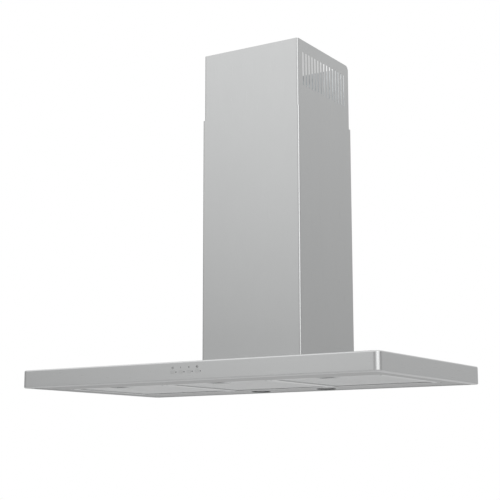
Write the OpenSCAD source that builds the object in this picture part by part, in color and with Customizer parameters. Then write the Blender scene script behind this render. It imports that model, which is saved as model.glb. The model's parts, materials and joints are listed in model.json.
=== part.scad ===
// Wall-mounted chimney range hood: a slim box canopy, two telescoping chimney covers, a centrifugal
// blower with non-return flaps, three grease filters, two lamps and four push-buttons.
// Millimetres. +Z is up, the wall is at +Y and the front face at -Y.
// The origin is the centre of the canopy's underside.

/* [Canopy] */
// Width of the canopy
canopy_w = 898; // [800:1:1000]
// Depth of the canopy, from the wall to the front face
canopy_d = 510; // [480:1:560]
// Height of the canopy
canopy_h = 40; // [38:1:60]
// Radius of the canopy's upright corners
canopy_corner_r = 13; // [8:0.5:20]
// Radius of the folds along the canopy's top and bottom edges
canopy_fold_r = 3; // [2:0.5:4]
// Thickness of the stainless sheet of canopy and covers
sheet = 1; // [0.8:0.1:1.2]
// Width of the lip folded in under the canopy
lip_w = 14; // [10:1:20]
// Thickness of the underside pan
pan_sheet = 1; // [0.8:0.1:1.5]
// Depth of the pan's front strip
front_strip_d = 108; // [100:1:120]
// Depth of the pan's rear strip
rear_strip_d = 105; // [100:1:120]
// Width of the pan's side strips
side_strip_w = 46; // [30:1:70]
// Height of the flanges turned up round the filter opening
upstand_h = 10; // [8:1:14]

/* [Chimney covers] */
// Width of the lower cover
chimney_w = 265; // [250:1:300]
// Depth of the lower cover, from the wall to its front
chimney_d = 255; // [250:1:290]
// Height of the lower cover
lower_cover_h = 598; // [560:1:700]
// Height of the upper cover that shows above the lower one at rest
upper_show_h = 162; // [160:1:300]
// Whole height of the upper cover
upper_cover_h = 560; // [500:1:600]
// Clearance between the covers, all round
slide_gap = 1.5; // [1:0.1:2]
// Outer radius of the covers' upright bends
cover_bend_r = 5; // [3:0.5:8]
// Width of the covers' rear flanges
cover_flange_w = 15; // [10:1:16]
// Number of louvre slots on each side
slot_count = 15; // [9:2:15]
// Width of a louvre slot
slot_w = 4; // [3:0.5:7]
// Distance between neighbouring slots
slot_pitch = 14.25; // [12:0.25:15]
// Length of a louvre slot
slot_l = 80; // [60:1:100]
// Height of the sheet left above the slots
slot_drop = 28; // [20:1:40]
// Depth of the clipped corner at the upper cover's top rear
clip_d = 8; // [6:1:19]
// Height of the clipped corner
clip_h = 8; // [4:1:15]

/* [Blower] */
// Height of the blower box
blower_h = 290; // [275:1:330]
// Thickness of the galvanised sheet of the blower box
blower_sheet = 1.2; // [1:0.1:1.5]
// Space in front of the blower box for the wiring
service_gap = 44.5; // [42:0.5:55]
// Space at each side of the blower box
side_gap = 19; // [15:0.5:22]
// Outer radius of the outlet collar, for a 150 mm duct
collar_r = 74.5; // [60:0.5:75]
// Height of the outlet collar above the blower box
collar_h = 45; // [40:1:60]
// Wall of the outlet collar
collar_wall = 2.5; // [2:0.5:3]
// Outer radius of the impeller
impeller_r = 68; // [60:1:70]
// Width of the impeller
impeller_w = 90; // [76:1:94]
// Number of blades
blade_count = 36; // [24:1:40]
// Width of the scroll housing
scroll_w = 110; // [104:1:120]
// Radius of the motor
motor_r = 42; // [36:1:46]
// Length of the motor
motor_l = 50; // [40:1:51]
// Radius of the impeller's shaft
shaft_r = 4; // [3:0.5:5]

/* [Wall fixing] */
// Thickness of the back plate
plate_t = 1.5; // [1.5:0.5:3]
// Sideways distance between the wall holes
wall_hole_w = 180; // [120:1:190]
// Radius of the wall holes
wall_hole_r = 4.25; // [3:0.25:5]
// Sideways distance between the upper bracket's wall holes
bracket_hole_w = 150; // [100:1:180]

/* [Filters] */
// Height of a filter
filter_h = 9; // [8:0.5:10]
// Gap between neighbouring filters
filter_gap = 1; // [0.6:0.1:2]
// Width of a filter's frame
filter_rim = 12; // [10:1:16]
// Thickness of the frame's sheet
filter_sheet = 1; // [0.8:0.1:1.2]
// Number of openings across the mesh
mesh_cols = 10; // [6:1:12]
// Number of openings along the mesh
mesh_rows = 9; // [6:1:12]
// Width of the strands between the openings
strand_w = 4; // [3:0.5:6]
// Travel of the latch
latch_travel = 6; // [4:0.5:7]

/* [Lamps] */
// Distance between the lamps' centres
lamp_spacing = 180; // [160:1:260]
// Distance of the lamps' centres from the wall
lamp_wall_gap = 62; // [56:1:64]
// Radius of a lamp's lens
lens_r = 25; // [20:1:26]

/* [Controls] */
// Distance between neighbouring buttons
button_pitch = 20.5; // [19:0.5:24]
// Width of a button
button_w = 9; // [8:0.5:10]
// Height of a button
button_h = 5; // [4:0.5:7]
// Travel of a button
button_travel = 1.2; // [0.8:0.1:1.5]
// Radius of an indicator light
led_r = 1.25; // [1:0.25:1.5]
// Distance from a button's centre to its indicator light
led_offset = 8.5; // [8:0.5:9]

/* [Hidden] */
$fn = 48;

// Overrun of every cut
cut = 1;
// Gap between a piece and the seat that it stands off
seat = 0.3;
// Radial running clearance of shaft and hinge pins
running = 0.05;
// Degrees in a full turn
full_turn = 360;

// Colours
steel = "#b6b8b8";
galvanised = "#9da3a6";
aluminium = "#c4c6c6";
black_plastic = "#2b2d2f";
grey_plastic = "#8b8f91";
white_plastic = "#e8e8e4";

// Planes of the canopy
y_wall = canopy_d / 2;
y_front = -canopy_d / 2;
pan_z = sheet;
pan_inset = canopy_fold_r + seat;
pan_top = pan_z + pan_sheet;
roof_z = canopy_h - sheet;
open_w = canopy_w - 2 * side_strip_w;
open_y0 = y_front + front_strip_d;
open_y1 = y_wall - rear_strip_d;

// Chimney covers
lower_y0 = y_wall - chimney_d;
lower_top = canopy_h + lower_cover_h;
upper_inset = sheet + slide_gap;
upper_w = chimney_w - 2 * upper_inset;
upper_y0 = lower_y0 + upper_inset;
upper_y1 = y_wall - upper_inset;
upper_top = lower_top + upper_show_h;
upper_z0 = upper_top - upper_cover_h;
slots_y = (upper_y0 + upper_y1) / 2;

// Pads between the covers, near the lower cover's top
glide_t = slide_gap - seat;
glide_w = 24;
glide_h = 12;
glide_drop = 30;

// Blower box
box_w = chimney_w - 2 * (sheet + upper_inset + side_gap);
box_y0 = upper_y0 + sheet + service_gap;
box_y1 = y_wall - plate_t;
box_top = canopy_h + blower_h;
foot_w = 12;
box_foot_top = canopy_h + blower_sheet;
intake_rim = 5;
collar_y = (box_y0 + box_y1) / 2;
collar_bore_r = collar_r - collar_wall;
collar_flange_w = 12;
collar_flange_r = collar_r + collar_flange_w;
collar_screw_angle = 35;
plate_ear_h = 30;
plate_margin = 7;
plate_gap = 2;
plate_w = max(box_w, wall_hole_w + 2 * (wall_hole_r + plate_margin));
wall_hole_lift = 18;
wall_hole_low = box_foot_top + wall_hole_lift;
wall_hole_high = box_top + plate_ear_h / 2;

// Screws, all alike
screw_r = 2;
screw_l = 8;
screw_head_r = 3.6;
screw_head_h = 1.6;
screw_hole_r = screw_r + running;

// Scroll housing: a spiral from the tongue round to the rear wall, in degrees from the rear
tongue_angle = 75;
tongue_gap = 8;
scroll_margin = 8;
scroll_steps = 40;
scroll_sweep = full_turn - tongue_angle;
scroll_base_r = impeller_r + tongue_gap;
front_share = (180 - tongue_angle) / scroll_sweep;
bottom_share = (270 - tongue_angle) / scroll_sweep;
scroll_room = box_y1 - box_y0 - blower_sheet - 2 * scroll_margin;
scroll_growth = (scroll_room - 2 * scroll_base_r) / (1 + front_share);
scroll_y = box_y0 + blower_sheet + scroll_margin + scroll_base_r + front_share * scroll_growth;
scroll_floor_gap = 28;
scroll_z = canopy_h + scroll_floor_gap + scroll_base_r + bottom_share * scroll_growth;
scroll_top = box_top - blower_sheet;
neck_flange_w = 8;
inlet_step = 10;
inlet_r = impeller_r - inlet_step;
bell_r = 5;

// Impeller and motor, along the X axis
blade_t = 1.2;
blade_depth = 12;
blade_inset = 0.5;
blade_lead = 14;
ring_t = 1.5;
hub_r = 10;
hub_l = 16;
nut_r = 7;
nut_l = 6;
motor_x1 = -12;
motor_x0 = motor_x1 - motor_l;
bush_l = 6;
bush_wall = 4;
bush_r = shaft_r + bush_wall;
shaft_x0 = motor_x0 + bush_l;
shaft_x1 = hub_l / 2 + nut_l;
spider_t = 2;
spider_r = 30;
spider_overlap = 16;
spider_reach = inlet_r + spider_overlap;
spider_arm_w = 14;
spider_post_r = 5;

// Non-return flaps
flap_pin_r = 1.5;
knuckle_r = 3;
knuckle_l = 10;
flap_t = 1.5;
flap_rim_gap = 0.8;
flap_r = collar_bore_r - flap_rim_gap;
flap_lift = 14;
flap_z = box_top + flap_lift;
flap_cutback = 0.6;
flap_start = knuckle_r + flap_cutback;
ledge_w = 3;
ledge_t = 2;
pin_boss_l = 5;

// Electrical pieces on the blower box
terminal_w = 110;
terminal_d = 36;
terminal_h = 90;
terminal_wall = 2;
terminal_inset = 16;
terminal_y0 = box_y0 - terminal_d;
terminal_lift = 110;
terminal_z0 = canopy_h + terminal_lift;
terminal_lid_t = 2;
terminal_boss_w = 8;
terminal_lead_gap = 1;
gland_bore_r = 4.5;
gland_r = 9;
gland_nut_h = 6;
gland_l = 26;
lead_r = 2.5;
lead_bend = 12;
lead_x = motor_x0 - lead_bend;
terminal_x0 = min(-box_w / 2 + terminal_inset, lead_x - lead_r - terminal_lead_gap - terminal_boss_w);
capacitor_r = 16;
capacitor_l = 58;
capacitor_inset = 26;
capacitor_x = box_w / 2 - capacitor_inset;
clip_t = 1.2;
strap_h = 14;
capacitor_y = box_y0 - capacitor_r - clip_t - seat;

// Wiring loom under the canopy's roof
loom_r = 3;
loom_bend = 8;
loom_x = terminal_x0 + terminal_w / 2;
loom_y = terminal_y0 + terminal_d / 2;
loom_z = roof_z - sheet - loom_bend;
grommet_r = 6;
grommet_flange_r = 9;
grommet_t = 2;

// Lower cover's brackets
bracket_t = 1.5;
bracket_foot = 16;
bracket_h = 20;
bracket_l = 24;
bracket_y0 = lower_y0 + cover_bend_r + slide_gap;

// Upper cover's wall bracket
strap_drop = 106;
strap_z0 = upper_top - strap_drop;
strap_w = 104;
strap_t = 1.5;
strap_arm = 20;
strap_y1 = upper_y1 - sheet;
strap_foot_w = 26;
strap_foot_h = 18;
bracket_hole_r = 3;

// Lamps
lamp_y = y_wall - lamp_wall_gap;
bezel_w = 4;
bezel_sleeve = 2;
bezel_h = 13;
lens_t = 2;
lens_lift = 0.3;
module_h = 21;
fin_count = 5;
fin_t = 2;

// Controls
guide_margin = 17;
guide_w = 3 * button_pitch + 2 * guide_margin;
guide_z0 = 9;
guide_h = 18;
guide_t = 7;
button_z = 18;
button_r = 1.5;
button_gap = 0.3;
button_flange = 1.2;
button_flange_t = 1;
guide_pocket = 2 * seat + button_flange_t + button_travel;
switch_w = 6;
switch_t = 3.5;
board_t = 1.6;
post_r = 3;
post_l = 4;
board_y0 = y_front + sheet + guide_t + post_l;
button_l = sheet + guide_t + post_l - switch_t - button_travel - running;
control_w = 150;
control_gap = 4;
control_y0 = board_y0 + board_t + control_gap;
control_y1 = open_y0 - sheet - control_gap;
control_wall = 2;
control_h = roof_z - seat - pan_top;

// Filters
filter_w = (open_w - 4 * filter_gap) / 3;
front_gap = 0.5;
hinge_gap = 2.8;
filter_y0 = open_y0 + front_gap;
filter_y1 = open_y1 - hinge_gap;
filter_d = filter_y1 - filter_y0;
filter_z = pan_z;
filter_corner_r = 5;
tongue_w = 22;
tongue_t = 1.2;
tongue_reach = 6;
tongue_place_share = 0.37;
hinge_z = pan_top + seat + tongue_t / 2;

// Latch: a slide in a cup let into the filter's frame
cup_w = 42;
cup_wall = 1.5;
cup_roof = 1.5;
latch_w = 30;
latch_d = 10;
finger_room = 12.7;
cup_d = 2 * cup_wall + seat + latch_d + latch_travel + finger_room;
latch_lift = 1;
latch_z0 = filter_z + latch_lift;
latch_h = filter_z + filter_h - cup_roof - seat - latch_z0;
bolt_w = 16;
bolt_lift = 2.6;
bolt_z0 = filter_z + bolt_lift;
bolt_h = 2;
bolt_gap = 0.2;
latch_grip_wall = 2;

// Sheet or block drawn in X and Y, between two heights
module upward(z0, z1) {
    translate([0, 0, z0])
        linear_extrude(z1 - z0)
            children();
}

// Block drawn in X and Z, between two depths
module across(y0, y1) {
    translate([0, y1, 0])
        rotate([90, 0, 0])
            linear_extrude(y1 - y0)
                children();
}

// Block drawn in Y and Z, between two places along X
module along(x0, x1) {
    translate([x0, 0, 0])
        rotate([90, 0, 90])
            linear_extrude(x1 - x0)
                children();
}

// Box between two corners
module span(from, to) {
    translate(from)
        cube(to - from);
}

// Rectangle between two corners
module area(from, to) {
    translate(from)
        square(to - from);
}

module rounded_rect(w, d, r) {
    square([w - 2 * r, d], center = true);
    square([w, d - 2 * r], center = true);
    for (sx = [-1, 1], sy = [-1, 1])
        translate([sx * (w / 2 - r), sy * (d / 2 - r)])
            circle(r = r);
}

// Outline across a folded edge, rounded at both ends
module folded_edge(w, fold) {
    intersection() {
        translate([-w / 2, 0])
            square([w, fold]);
        union() {
            translate([-w / 2 + fold, 0])
                square([w - 2 * fold, fold]);
            for (s = [-1, 1])
                translate([s * (w / 2 - fold), 0])
                    circle(r = fold);
        }
    }
}

// Layer as high as the fold, rounded all round its upper edge
module folded_layer(w, d, r, fold) {
    along(-w / 2 + r, w / 2 - r)
        folded_edge(d, fold);
    across(-d / 2 + r, d / 2 - r)
        folded_edge(w, fold);
    for (q = [0:3])
        translate([(q == 0 || q == 3 ? 1 : -1) * (w / 2 - r), (q < 2 ? 1 : -1) * (d / 2 - r), 0])
            rotate([0, 0, 90 * q])
                rotate_extrude(angle = 90)
                    intersection() {
                        square([r, fold]);
                        union() {
                            square([r - fold, fold]);
                            translate([r - fold, 0])
                                circle(r = fold);
                        }
                    }
}

// Block with upright corner radii and a rounded fold round its top and its bottom
module canopy_block(w, d, h, r, fold) {
    upward(fold, h - fold)
        rounded_rect(w, d, r);
    translate([0, 0, h - fold])
        folded_layer(w, d, r, fold);
    translate([0, 0, fold])
        mirror([0, 0, 1])
            folded_layer(w, d, r, fold);
}

module screw() {
    cylinder(r = screw_head_r, h = screw_head_h);
    translate([0, 0, -screw_l])
        cylinder(r = screw_r, h = screw_l);
}

module screw_hole(depth) {
    translate([0, 0, -depth])
        cylinder(r = screw_hole_r, h = depth + cut);
}

// Places of the screws in the blower box's foot
module at_box_foot() {
    for (sx = [-1, 1], share = [1 / 8, 1 / 2, 7 / 8])
        translate([sx * (box_w / 2 + foot_w / 2), box_y0 + share * (box_y1 - box_y0), box_foot_top])
            children();
    for (sx = [-1, 1])
        translate([sx * box_w / 4, box_y0 - foot_w / 2, box_foot_top])
            children();
}

// Places of the screws in the outlet collar's flange
module at_collar_flange() {
    for (side = [0, 180], sa = [-1, 1], a = [side + sa * collar_screw_angle])
        translate([0, collar_y, box_top + collar_wall])
            rotate([0, 0, a])
                translate([(collar_r + collar_flange_r) / 2, 0, 0])
                    children();
}

// Places of the screws in the lower cover's brackets
module at_bracket_feet() {
    for (sx = [-1, 1], share = [1 / 4, 3 / 4])
        translate([sx * (chimney_w / 2 - sheet - bracket_foot / 2), bracket_y0 + share * bracket_l,
            canopy_h + bracket_t])
            children();
}

// Places of the screws in the terminal box's lid
module at_lid_corners() {
    for (sx = [0, 1])
        translate([terminal_x0 + terminal_boss_w / 2 + sx * (terminal_w - terminal_boss_w),
            terminal_y0 - terminal_lid_t, terminal_z0 + terminal_h / 2])
            rotate([90, 0, 0])
                children();
}

function button_x(i) = (i - 3 / 2) * button_pitch;

module button_outline(i, gap) {
    translate([button_x(i), button_z])
        rounded_rect(button_w + 2 * gap, button_h + 2 * gap, button_r + gap);
}

module led_outline(i) {
    translate([button_x(i) + led_offset, button_z])
        circle(r = led_r);
}

// Canopy

module canopy_shell() color(steel) difference() {
    canopy_block(canopy_w, canopy_d, canopy_h, canopy_corner_r, canopy_fold_r);
    translate([0, 0, sheet])
        canopy_block(canopy_w - 2 * sheet, canopy_d - 2 * sheet, canopy_h - 2 * sheet,
            canopy_corner_r - sheet, canopy_fold_r - sheet);
    upward(-cut, sheet + cut)
        square([canopy_w - 2 * lip_w, canopy_d - 2 * lip_w], center = true);
    upward(roof_z - cut, canopy_h + cut) {
        area([-box_w / 2 + intake_rim, box_y0 + intake_rim], [box_w / 2 - intake_rim, box_y1 - foot_w]);
        translate([loom_x, loom_y])
            circle(r = grommet_r);
    }
    across(y_front - cut, y_front + sheet + cut)
        for (i = [0:3]) {
            button_outline(i, button_gap);
            led_outline(i);
        }
    at_box_foot()
        screw_hole(blower_sheet + sheet + cut);
    at_bracket_feet()
        screw_hole(bracket_t + sheet + cut);
}

module underside_pan() color(steel) difference() {
    union() {
        upward(pan_z, pan_top)
            difference() {
                rounded_rect(canopy_w - 2 * pan_inset, canopy_d - 2 * pan_inset,
                    canopy_corner_r - canopy_fold_r);
                area([-open_w / 2, open_y0], [open_w / 2, open_y1]);
                for (sx = [-1, 1])
                    translate([sx * lamp_spacing / 2, lamp_y])
                        circle(r = lens_r + bezel_sleeve);
            }
        span([-open_w / 2 - pan_sheet, open_y0 - pan_sheet, pan_top],
            [open_w / 2 + pan_sheet, open_y0, pan_top + upstand_h]);
        for (sx = [-1, 1])
            translate([sx * (open_w / 2 + pan_sheet / 2), 0, 0])
                span([-pan_sheet / 2, open_y0 - pan_sheet, pan_top],
                    [pan_sheet / 2, open_y1, pan_top + upstand_h]);
    }
    // catches of the three latches
    for (i = [-1:1])
        span([filter_x(i) - bolt_w / 2 - bolt_gap, open_y0 - pan_sheet - cut, bolt_z0 - bolt_gap],
            [filter_x(i) + bolt_w / 2 + bolt_gap, open_y0 + cut, bolt_z0 + bolt_h + bolt_gap]);
}

module back_plate() color(galvanised) across(box_y1, y_wall) difference() {
    area([-plate_w / 2, canopy_h], [plate_w / 2, box_top + plate_ear_h]);
    for (sx = [-1, 1], z = [wall_hole_low, wall_hole_high])
        translate([sx * wall_hole_w / 2, z])
            circle(r = wall_hole_r);
}

// Blower

module blower_box() color(galvanised) difference() {
    union() {
        span([-box_w / 2, box_y0, canopy_h], [box_w / 2, box_y1, box_top]);
        span([-box_w / 2 - foot_w, box_y0 - foot_w, canopy_h],
            [box_w / 2 + foot_w, box_y1, box_foot_top]);
    }
    span([-box_w / 2 + blower_sheet, box_y0 + blower_sheet, canopy_h - cut],
        [box_w / 2 - blower_sheet, box_y1 + cut, box_top - blower_sheet]);
    translate([0, collar_y, box_top - blower_sheet - cut])
        cylinder(r = collar_bore_r, h = blower_sheet + 2 * cut);
    translate([lead_x, box_y0 - cut, scroll_z])
        rotate([-90, 0, 0])
            cylinder(r = lead_r, h = blower_sheet + 2 * cut);
    // the loom rises beside the foot flange
    upward(canopy_h - cut, box_foot_top + cut)
        area([loom_x - grommet_flange_r - seat, box_y0 - foot_w - cut],
            [loom_x + grommet_flange_r + seat, loom_y + grommet_flange_r + seat]);
    at_box_foot()
        screw_hole(blower_sheet + cut);
    at_collar_flange()
        screw_hole(collar_wall + blower_sheet + cut);
}

module body_screws() color(galvanised) {
    at_box_foot()
        screw();
    at_collar_flange()
        screw();
    at_bracket_feet()
        screw();
    at_lid_corners()
        screw();
}

function scroll_r(angle) = scroll_base_r + scroll_growth * (angle - tongue_angle) / scroll_sweep;

// Spiral and outlet neck, drawn from the impeller's axis, with the wall taken off for the inside
module scroll_outline(wall, top) {
    polygon(concat(
        [for (i = [0:scroll_steps])
            let (a = tongue_angle + scroll_sweep * i / scroll_steps)
                (scroll_r(a) - wall) * [cos(a), sin(a)]],
        [[collar_y + collar_bore_r - scroll_y - wall, top],
            [collar_y - collar_bore_r - scroll_y + wall, top]]));
}

module scroll_housing() color(galvanised) difference() {
    translate([0, scroll_y, scroll_z]) {
        difference() {
            along(-scroll_w / 2, scroll_w / 2)
                scroll_outline(0, scroll_top - scroll_z);
            along(-scroll_w / 2 + blower_sheet, scroll_w / 2 - blower_sheet)
                scroll_outline(blower_sheet, scroll_top - scroll_z + cut);
            along(-scroll_w / 2 - cut, scroll_w / 2 + cut)
                circle(r = inlet_r + bell_r);
        }
        for (side = [-1, 1])
            rotate([0, side * 90, 0])
                translate([0, 0, scroll_w / 2])
                    bell_mouth();
        for (side = [-1, 1])
            translate([side * (scroll_w / 2 + neck_flange_w / 2), 0, 0])
                along(-neck_flange_w / 2, neck_flange_w / 2)
                    area([collar_y - collar_bore_r - scroll_y, scroll_top - scroll_z - blower_sheet],
                        [collar_y + collar_bore_r - scroll_y, scroll_top - scroll_z]);
    }
}

// Inlet ring that curls inwards from the cheek
module bell_mouth() {
    rotate_extrude()
        translate([inlet_r + bell_r, -bell_r])
            intersection() {
                difference() {
                    circle(r = bell_r);
                    circle(r = bell_r - blower_sheet);
                }
                translate([-bell_r, 0])
                    square(bell_r);
            }
}

// Forward-curved blade, a little narrower than the end rings
module blade(a) {
    steps = 3;
    inner_r = impeller_r - blade_depth + blade_inset;
    depth = blade_depth - 2 * blade_inset;
    rotate([0, 0, a])
        polygon(concat(
            [for (i = [0:steps])
                let (s = i / steps, r = inner_r + depth * s, b = blade_lead * s * s)
                    r * [cos(b), sin(b)]],
            [for (i = [steps:-1:0])
                let (s = i / steps, r = inner_r + depth * s, b = blade_lead * s * s)
                    r * [cos(b), sin(b)] + blade_t * [-sin(b), cos(b)]]));
}

module impeller() color(galvanised)
    translate([0, scroll_y, scroll_z]) difference() {
        union() {
            along(-impeller_w / 2, impeller_w / 2)
                for (i = [0:blade_count - 1])
                    blade(full_turn * i / blade_count);
            for (side = [-1, 1])
                translate([side * (impeller_w / 2 - ring_t / 2), 0, 0])
                    along(-ring_t / 2, ring_t / 2)
                        difference() {
                            circle(r = impeller_r);
                            circle(r = impeller_r - blade_depth);
                        }
            along(-ring_t / 2, ring_t / 2)
                circle(r = impeller_r);
            along(-hub_l / 2, hub_l / 2)
                circle(r = hub_r);
        }
        along(-hub_l, hub_l)
            circle(r = shaft_r);
    }

module impeller_shaft() color("silver")
    translate([0, scroll_y, scroll_z])
        along(shaft_x0, shaft_x1)
            circle(r = shaft_r);

module impeller_nut() color("silver")
    translate([0, scroll_y, scroll_z])
        along(hub_l / 2, hub_l / 2 + nut_l)
            difference() {
                circle(r = nut_r, $fn = 6);
                circle(r = shaft_r);
            }

module motor() color(grey_plastic)
    translate([0, scroll_y, scroll_z]) difference() {
        union() {
            along(motor_x0, motor_x1 - bush_l)
                circle(r = motor_r);
            along(motor_x1 - bush_l, motor_x1)
                circle(r = 2 * bush_r);
        }
        along(shaft_x0 - cut, motor_x1 + cut)
            circle(r = shaft_r + cut);
        along(motor_x1 - bush_l, motor_x1 + cut)
            circle(r = bush_r);
        along(motor_x0 + bush_l / 2, motor_x0 + 2 * bush_l)
            circle(r = bush_r);
    }

module motor_bushes() color("goldenrod")
    translate([0, scroll_y, scroll_z]) {
        along(motor_x1 - bush_l, motor_x1)
            difference() {
                circle(r = bush_r);
                circle(r = shaft_r + running);
            }
        along(motor_x0 + bush_l / 2, motor_x0 + 2 * bush_l)
            difference() {
                circle(r = bush_r);
                circle(r = shaft_r + running);
            }
    }

module motor_bracket() color(galvanised)
    translate([0, scroll_y, scroll_z]) {
        along(motor_x0 - spider_t, motor_x0) {
            circle(r = spider_r);
            for (a = [90, 210, 330])
                rotate([0, 0, a]) {
                    area([0, -spider_arm_w / 2], [spider_reach, spider_arm_w / 2]);
                    translate([spider_reach, 0])
                        circle(r = spider_arm_w / 2);
                }
        }
        along(motor_x0, -scroll_w / 2)
            for (a = [90, 210, 330])
                rotate([0, 0, a])
                    translate([spider_reach, 0])
                        circle(r = spider_post_r);
    }

// Quarter bend from +X towards +Y, starting at the origin
module bend(bend_r, tube_r) {
    translate([0, bend_r, 0])
        rotate([0, 0, -90])
            rotate_extrude(angle = 90)
                translate([bend_r, 0])
                    circle(r = tube_r);
}

module motor_lead() color(black_plastic) {
    translate([lead_x, 0, scroll_z]) {
        across(box_y0, scroll_y - spider_r - 2 * lead_r - lead_bend)
            circle(r = lead_r);
        translate([0, scroll_y - spider_r - 2 * lead_r - lead_bend, 0])
            mirror([1, -1, 0])
                bend(lead_bend, lead_r);
    }
}

module capacitor() color(white_plastic)
    translate([capacitor_x, capacitor_y, terminal_z0])
        cylinder(r = capacitor_r, h = capacitor_l);

module capacitor_clip() color(galvanised)
    translate([0, 0, terminal_z0 + capacitor_l / 2])
        upward(-strap_h / 2, strap_h / 2)
            translate([capacitor_x, capacitor_y])
                difference() {
                    union() {
                        circle(r = capacitor_r + clip_t);
                        area([-capacitor_r / 2, 0], [capacitor_r / 2, box_y0 - capacitor_y]);
                    }
                    circle(r = capacitor_r);
                }

// Outlet

module outlet_collar() color(black_plastic) translate([0, collar_y, 0]) {
    difference() {
        union() {
            upward(box_top, box_top + collar_wall)
                circle(r = collar_flange_r);
            upward(box_top, box_top + collar_h)
                circle(r = collar_r);
        }
        upward(box_top - cut, box_top + collar_h + cut)
            circle(r = collar_bore_r);
        translate([0, -collar_y, 0])
            at_collar_flange()
                screw_hole(collar_wall + cut);
    }
    // ledge under the flaps
    upward(flap_z - flap_t - seat - ledge_t, flap_z - flap_t - seat)
        difference() {
            circle(r = collar_bore_r);
            circle(r = collar_bore_r - ledge_w);
        }
    // bosses that hold the pin's ends
    difference() {
        intersection() {
            translate([0, 0, flap_z])
                along(-collar_bore_r, collar_bore_r)
                    circle(r = knuckle_r);
            upward(box_top, box_top + collar_h)
                circle(r = collar_bore_r);
        }
        translate([0, 0, flap_z]) {
            along(-collar_bore_r + pin_boss_l, collar_bore_r - pin_boss_l)
                circle(r = knuckle_r + cut);
            along(-pin_end_x(), pin_end_x())
                circle(r = flap_pin_r);
        }
    }
}

function pin_end_x() = collar_bore_r - pin_boss_l / 3;

module flap_pin() color("silver")
    translate([0, collar_y, flap_z])
        along(-pin_end_x(), pin_end_x())
            circle(r = flap_pin_r);

// One half disc, with two knuckles round the pin at the given place
module flap(knuckle_x) color(black_plastic) difference() {
    union() {
        upward(-flap_t, 0)
            intersection() {
                circle(r = flap_r);
                area([-flap_r, flap_start], [flap_r, flap_r]);
            }
        for (sx = [-1, 1])
            translate([sx * knuckle_x, 0, 0]) {
                along(-knuckle_l / 2, knuckle_l / 2)
                    circle(r = knuckle_r);
                span([-knuckle_l / 2, 0, -flap_t], [knuckle_l / 2, flap_start + flap_t, 0]);
            }
    }
    along(-flap_r, flap_r)
        circle(r = flap_pin_r + running);
}

module flap_rear()
    translate([0, collar_y, flap_z])
        flap(collar_bore_r / 3);

module flap_front()
    translate([0, collar_y, flap_z])
        rotate([0, 0, 180])
            flap(collar_bore_r / 3 + knuckle_l + cut);

// Electrical pieces

module terminal_box() color(grey_plastic) difference() {
    span([terminal_x0, terminal_y0, terminal_z0],
        [terminal_x0 + terminal_w, box_y0, terminal_z0 + terminal_h]);
    difference() {
        span([terminal_x0 + terminal_wall, terminal_y0 - cut, terminal_z0 + terminal_wall],
            [terminal_x0 + terminal_w - terminal_wall, box_y0 - terminal_wall,
                terminal_z0 + terminal_h - terminal_wall]);
        for (sx = [0, 1])
            translate([terminal_x0 + sx * (terminal_w - terminal_boss_w), 0, terminal_z0 + terminal_h / 2])
                span([0, terminal_y0 - 2 * cut, -terminal_boss_w / 2],
                    [terminal_boss_w, box_y0, terminal_boss_w / 2]);
    }
    at_lid_corners()
        screw_hole(terminal_lid_t + screw_l);
    translate([gland_x(), loom_y, terminal_z0 + terminal_h - terminal_wall - cut])
        cylinder(r = gland_bore_r + terminal_wall, h = terminal_wall + 2 * cut);
    translate([loom_x, loom_y, terminal_z0 - cut])
        cylinder(r = loom_r, h = terminal_wall + 2 * cut);
    translate([lead_x, box_y0 - terminal_wall - cut, scroll_z])
        rotate([-90, 0, 0])
            cylinder(r = lead_r, h = terminal_wall + 2 * cut);
}

function gland_x() = terminal_x0 + terminal_w / 2;

module terminal_box_lid() color(grey_plastic) difference() {
    span([terminal_x0, terminal_y0 - terminal_lid_t, terminal_z0],
        [terminal_x0 + terminal_w, terminal_y0, terminal_z0 + terminal_h]);
    at_lid_corners()
        screw_hole(terminal_lid_t + cut);
}

module terminal_block() color(white_plastic) {
    ways = 3;
    way_w = 11;
    translate([gland_x() - ways * way_w / 2, box_y0 - terminal_wall, terminal_z0 + terminal_h / 3])
        difference() {
            span([0, -screw_l - terminal_boss_w, 0], [ways * way_w, 0, terminal_boss_w * 2]);
            for (i = [0:ways - 1])
                translate([way_w * (i + 1 / 2), -screw_l, terminal_boss_w])
                    rotate([90, 0, 0])
                        cylinder(r = way_w / 4, h = 2 * screw_l);
        }
}

module cable_gland() color(black_plastic)
    translate([gland_x(), loom_y, terminal_z0 + terminal_h])
        difference() {
            union() {
                translate([0, 0, -terminal_wall])
                    cylinder(r = gland_bore_r + terminal_wall, h = gland_l);
                cylinder(r = gland_r, h = gland_nut_h, $fn = 6);
                translate([0, 0, gland_l - 2 * gland_nut_h])
                    cylinder(r = gland_r, h = gland_nut_h, $fn = 6);
            }
            translate([0, 0, -terminal_wall - cut])
                cylinder(r = gland_bore_r, h = gland_l + 2 * cut);
        }

module wiring_loom() color(black_plastic) translate([loom_x, 0, 0]) {
    translate([0, 0, loom_z])
        across(control_y1, loom_y - loom_bend)
            circle(r = loom_r);
    translate([0, loom_y - loom_bend, loom_z])
        rotate([90, 0, 90])
            bend(loom_bend, loom_r);
    translate([0, loom_y])
        upward(loom_z + loom_bend, terminal_z0 + terminal_wall)
            circle(r = loom_r);
}

module loom_grommet() color(black_plastic) translate([loom_x, loom_y]) difference() {
    union() {
        upward(roof_z, canopy_h)
            circle(r = grommet_r);
        upward(canopy_h, canopy_h + grommet_t)
            circle(r = grommet_flange_r);
    }
    upward(roof_z - cut, canopy_h + grommet_t + cut)
        circle(r = loom_r);
}

// Controls

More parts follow.
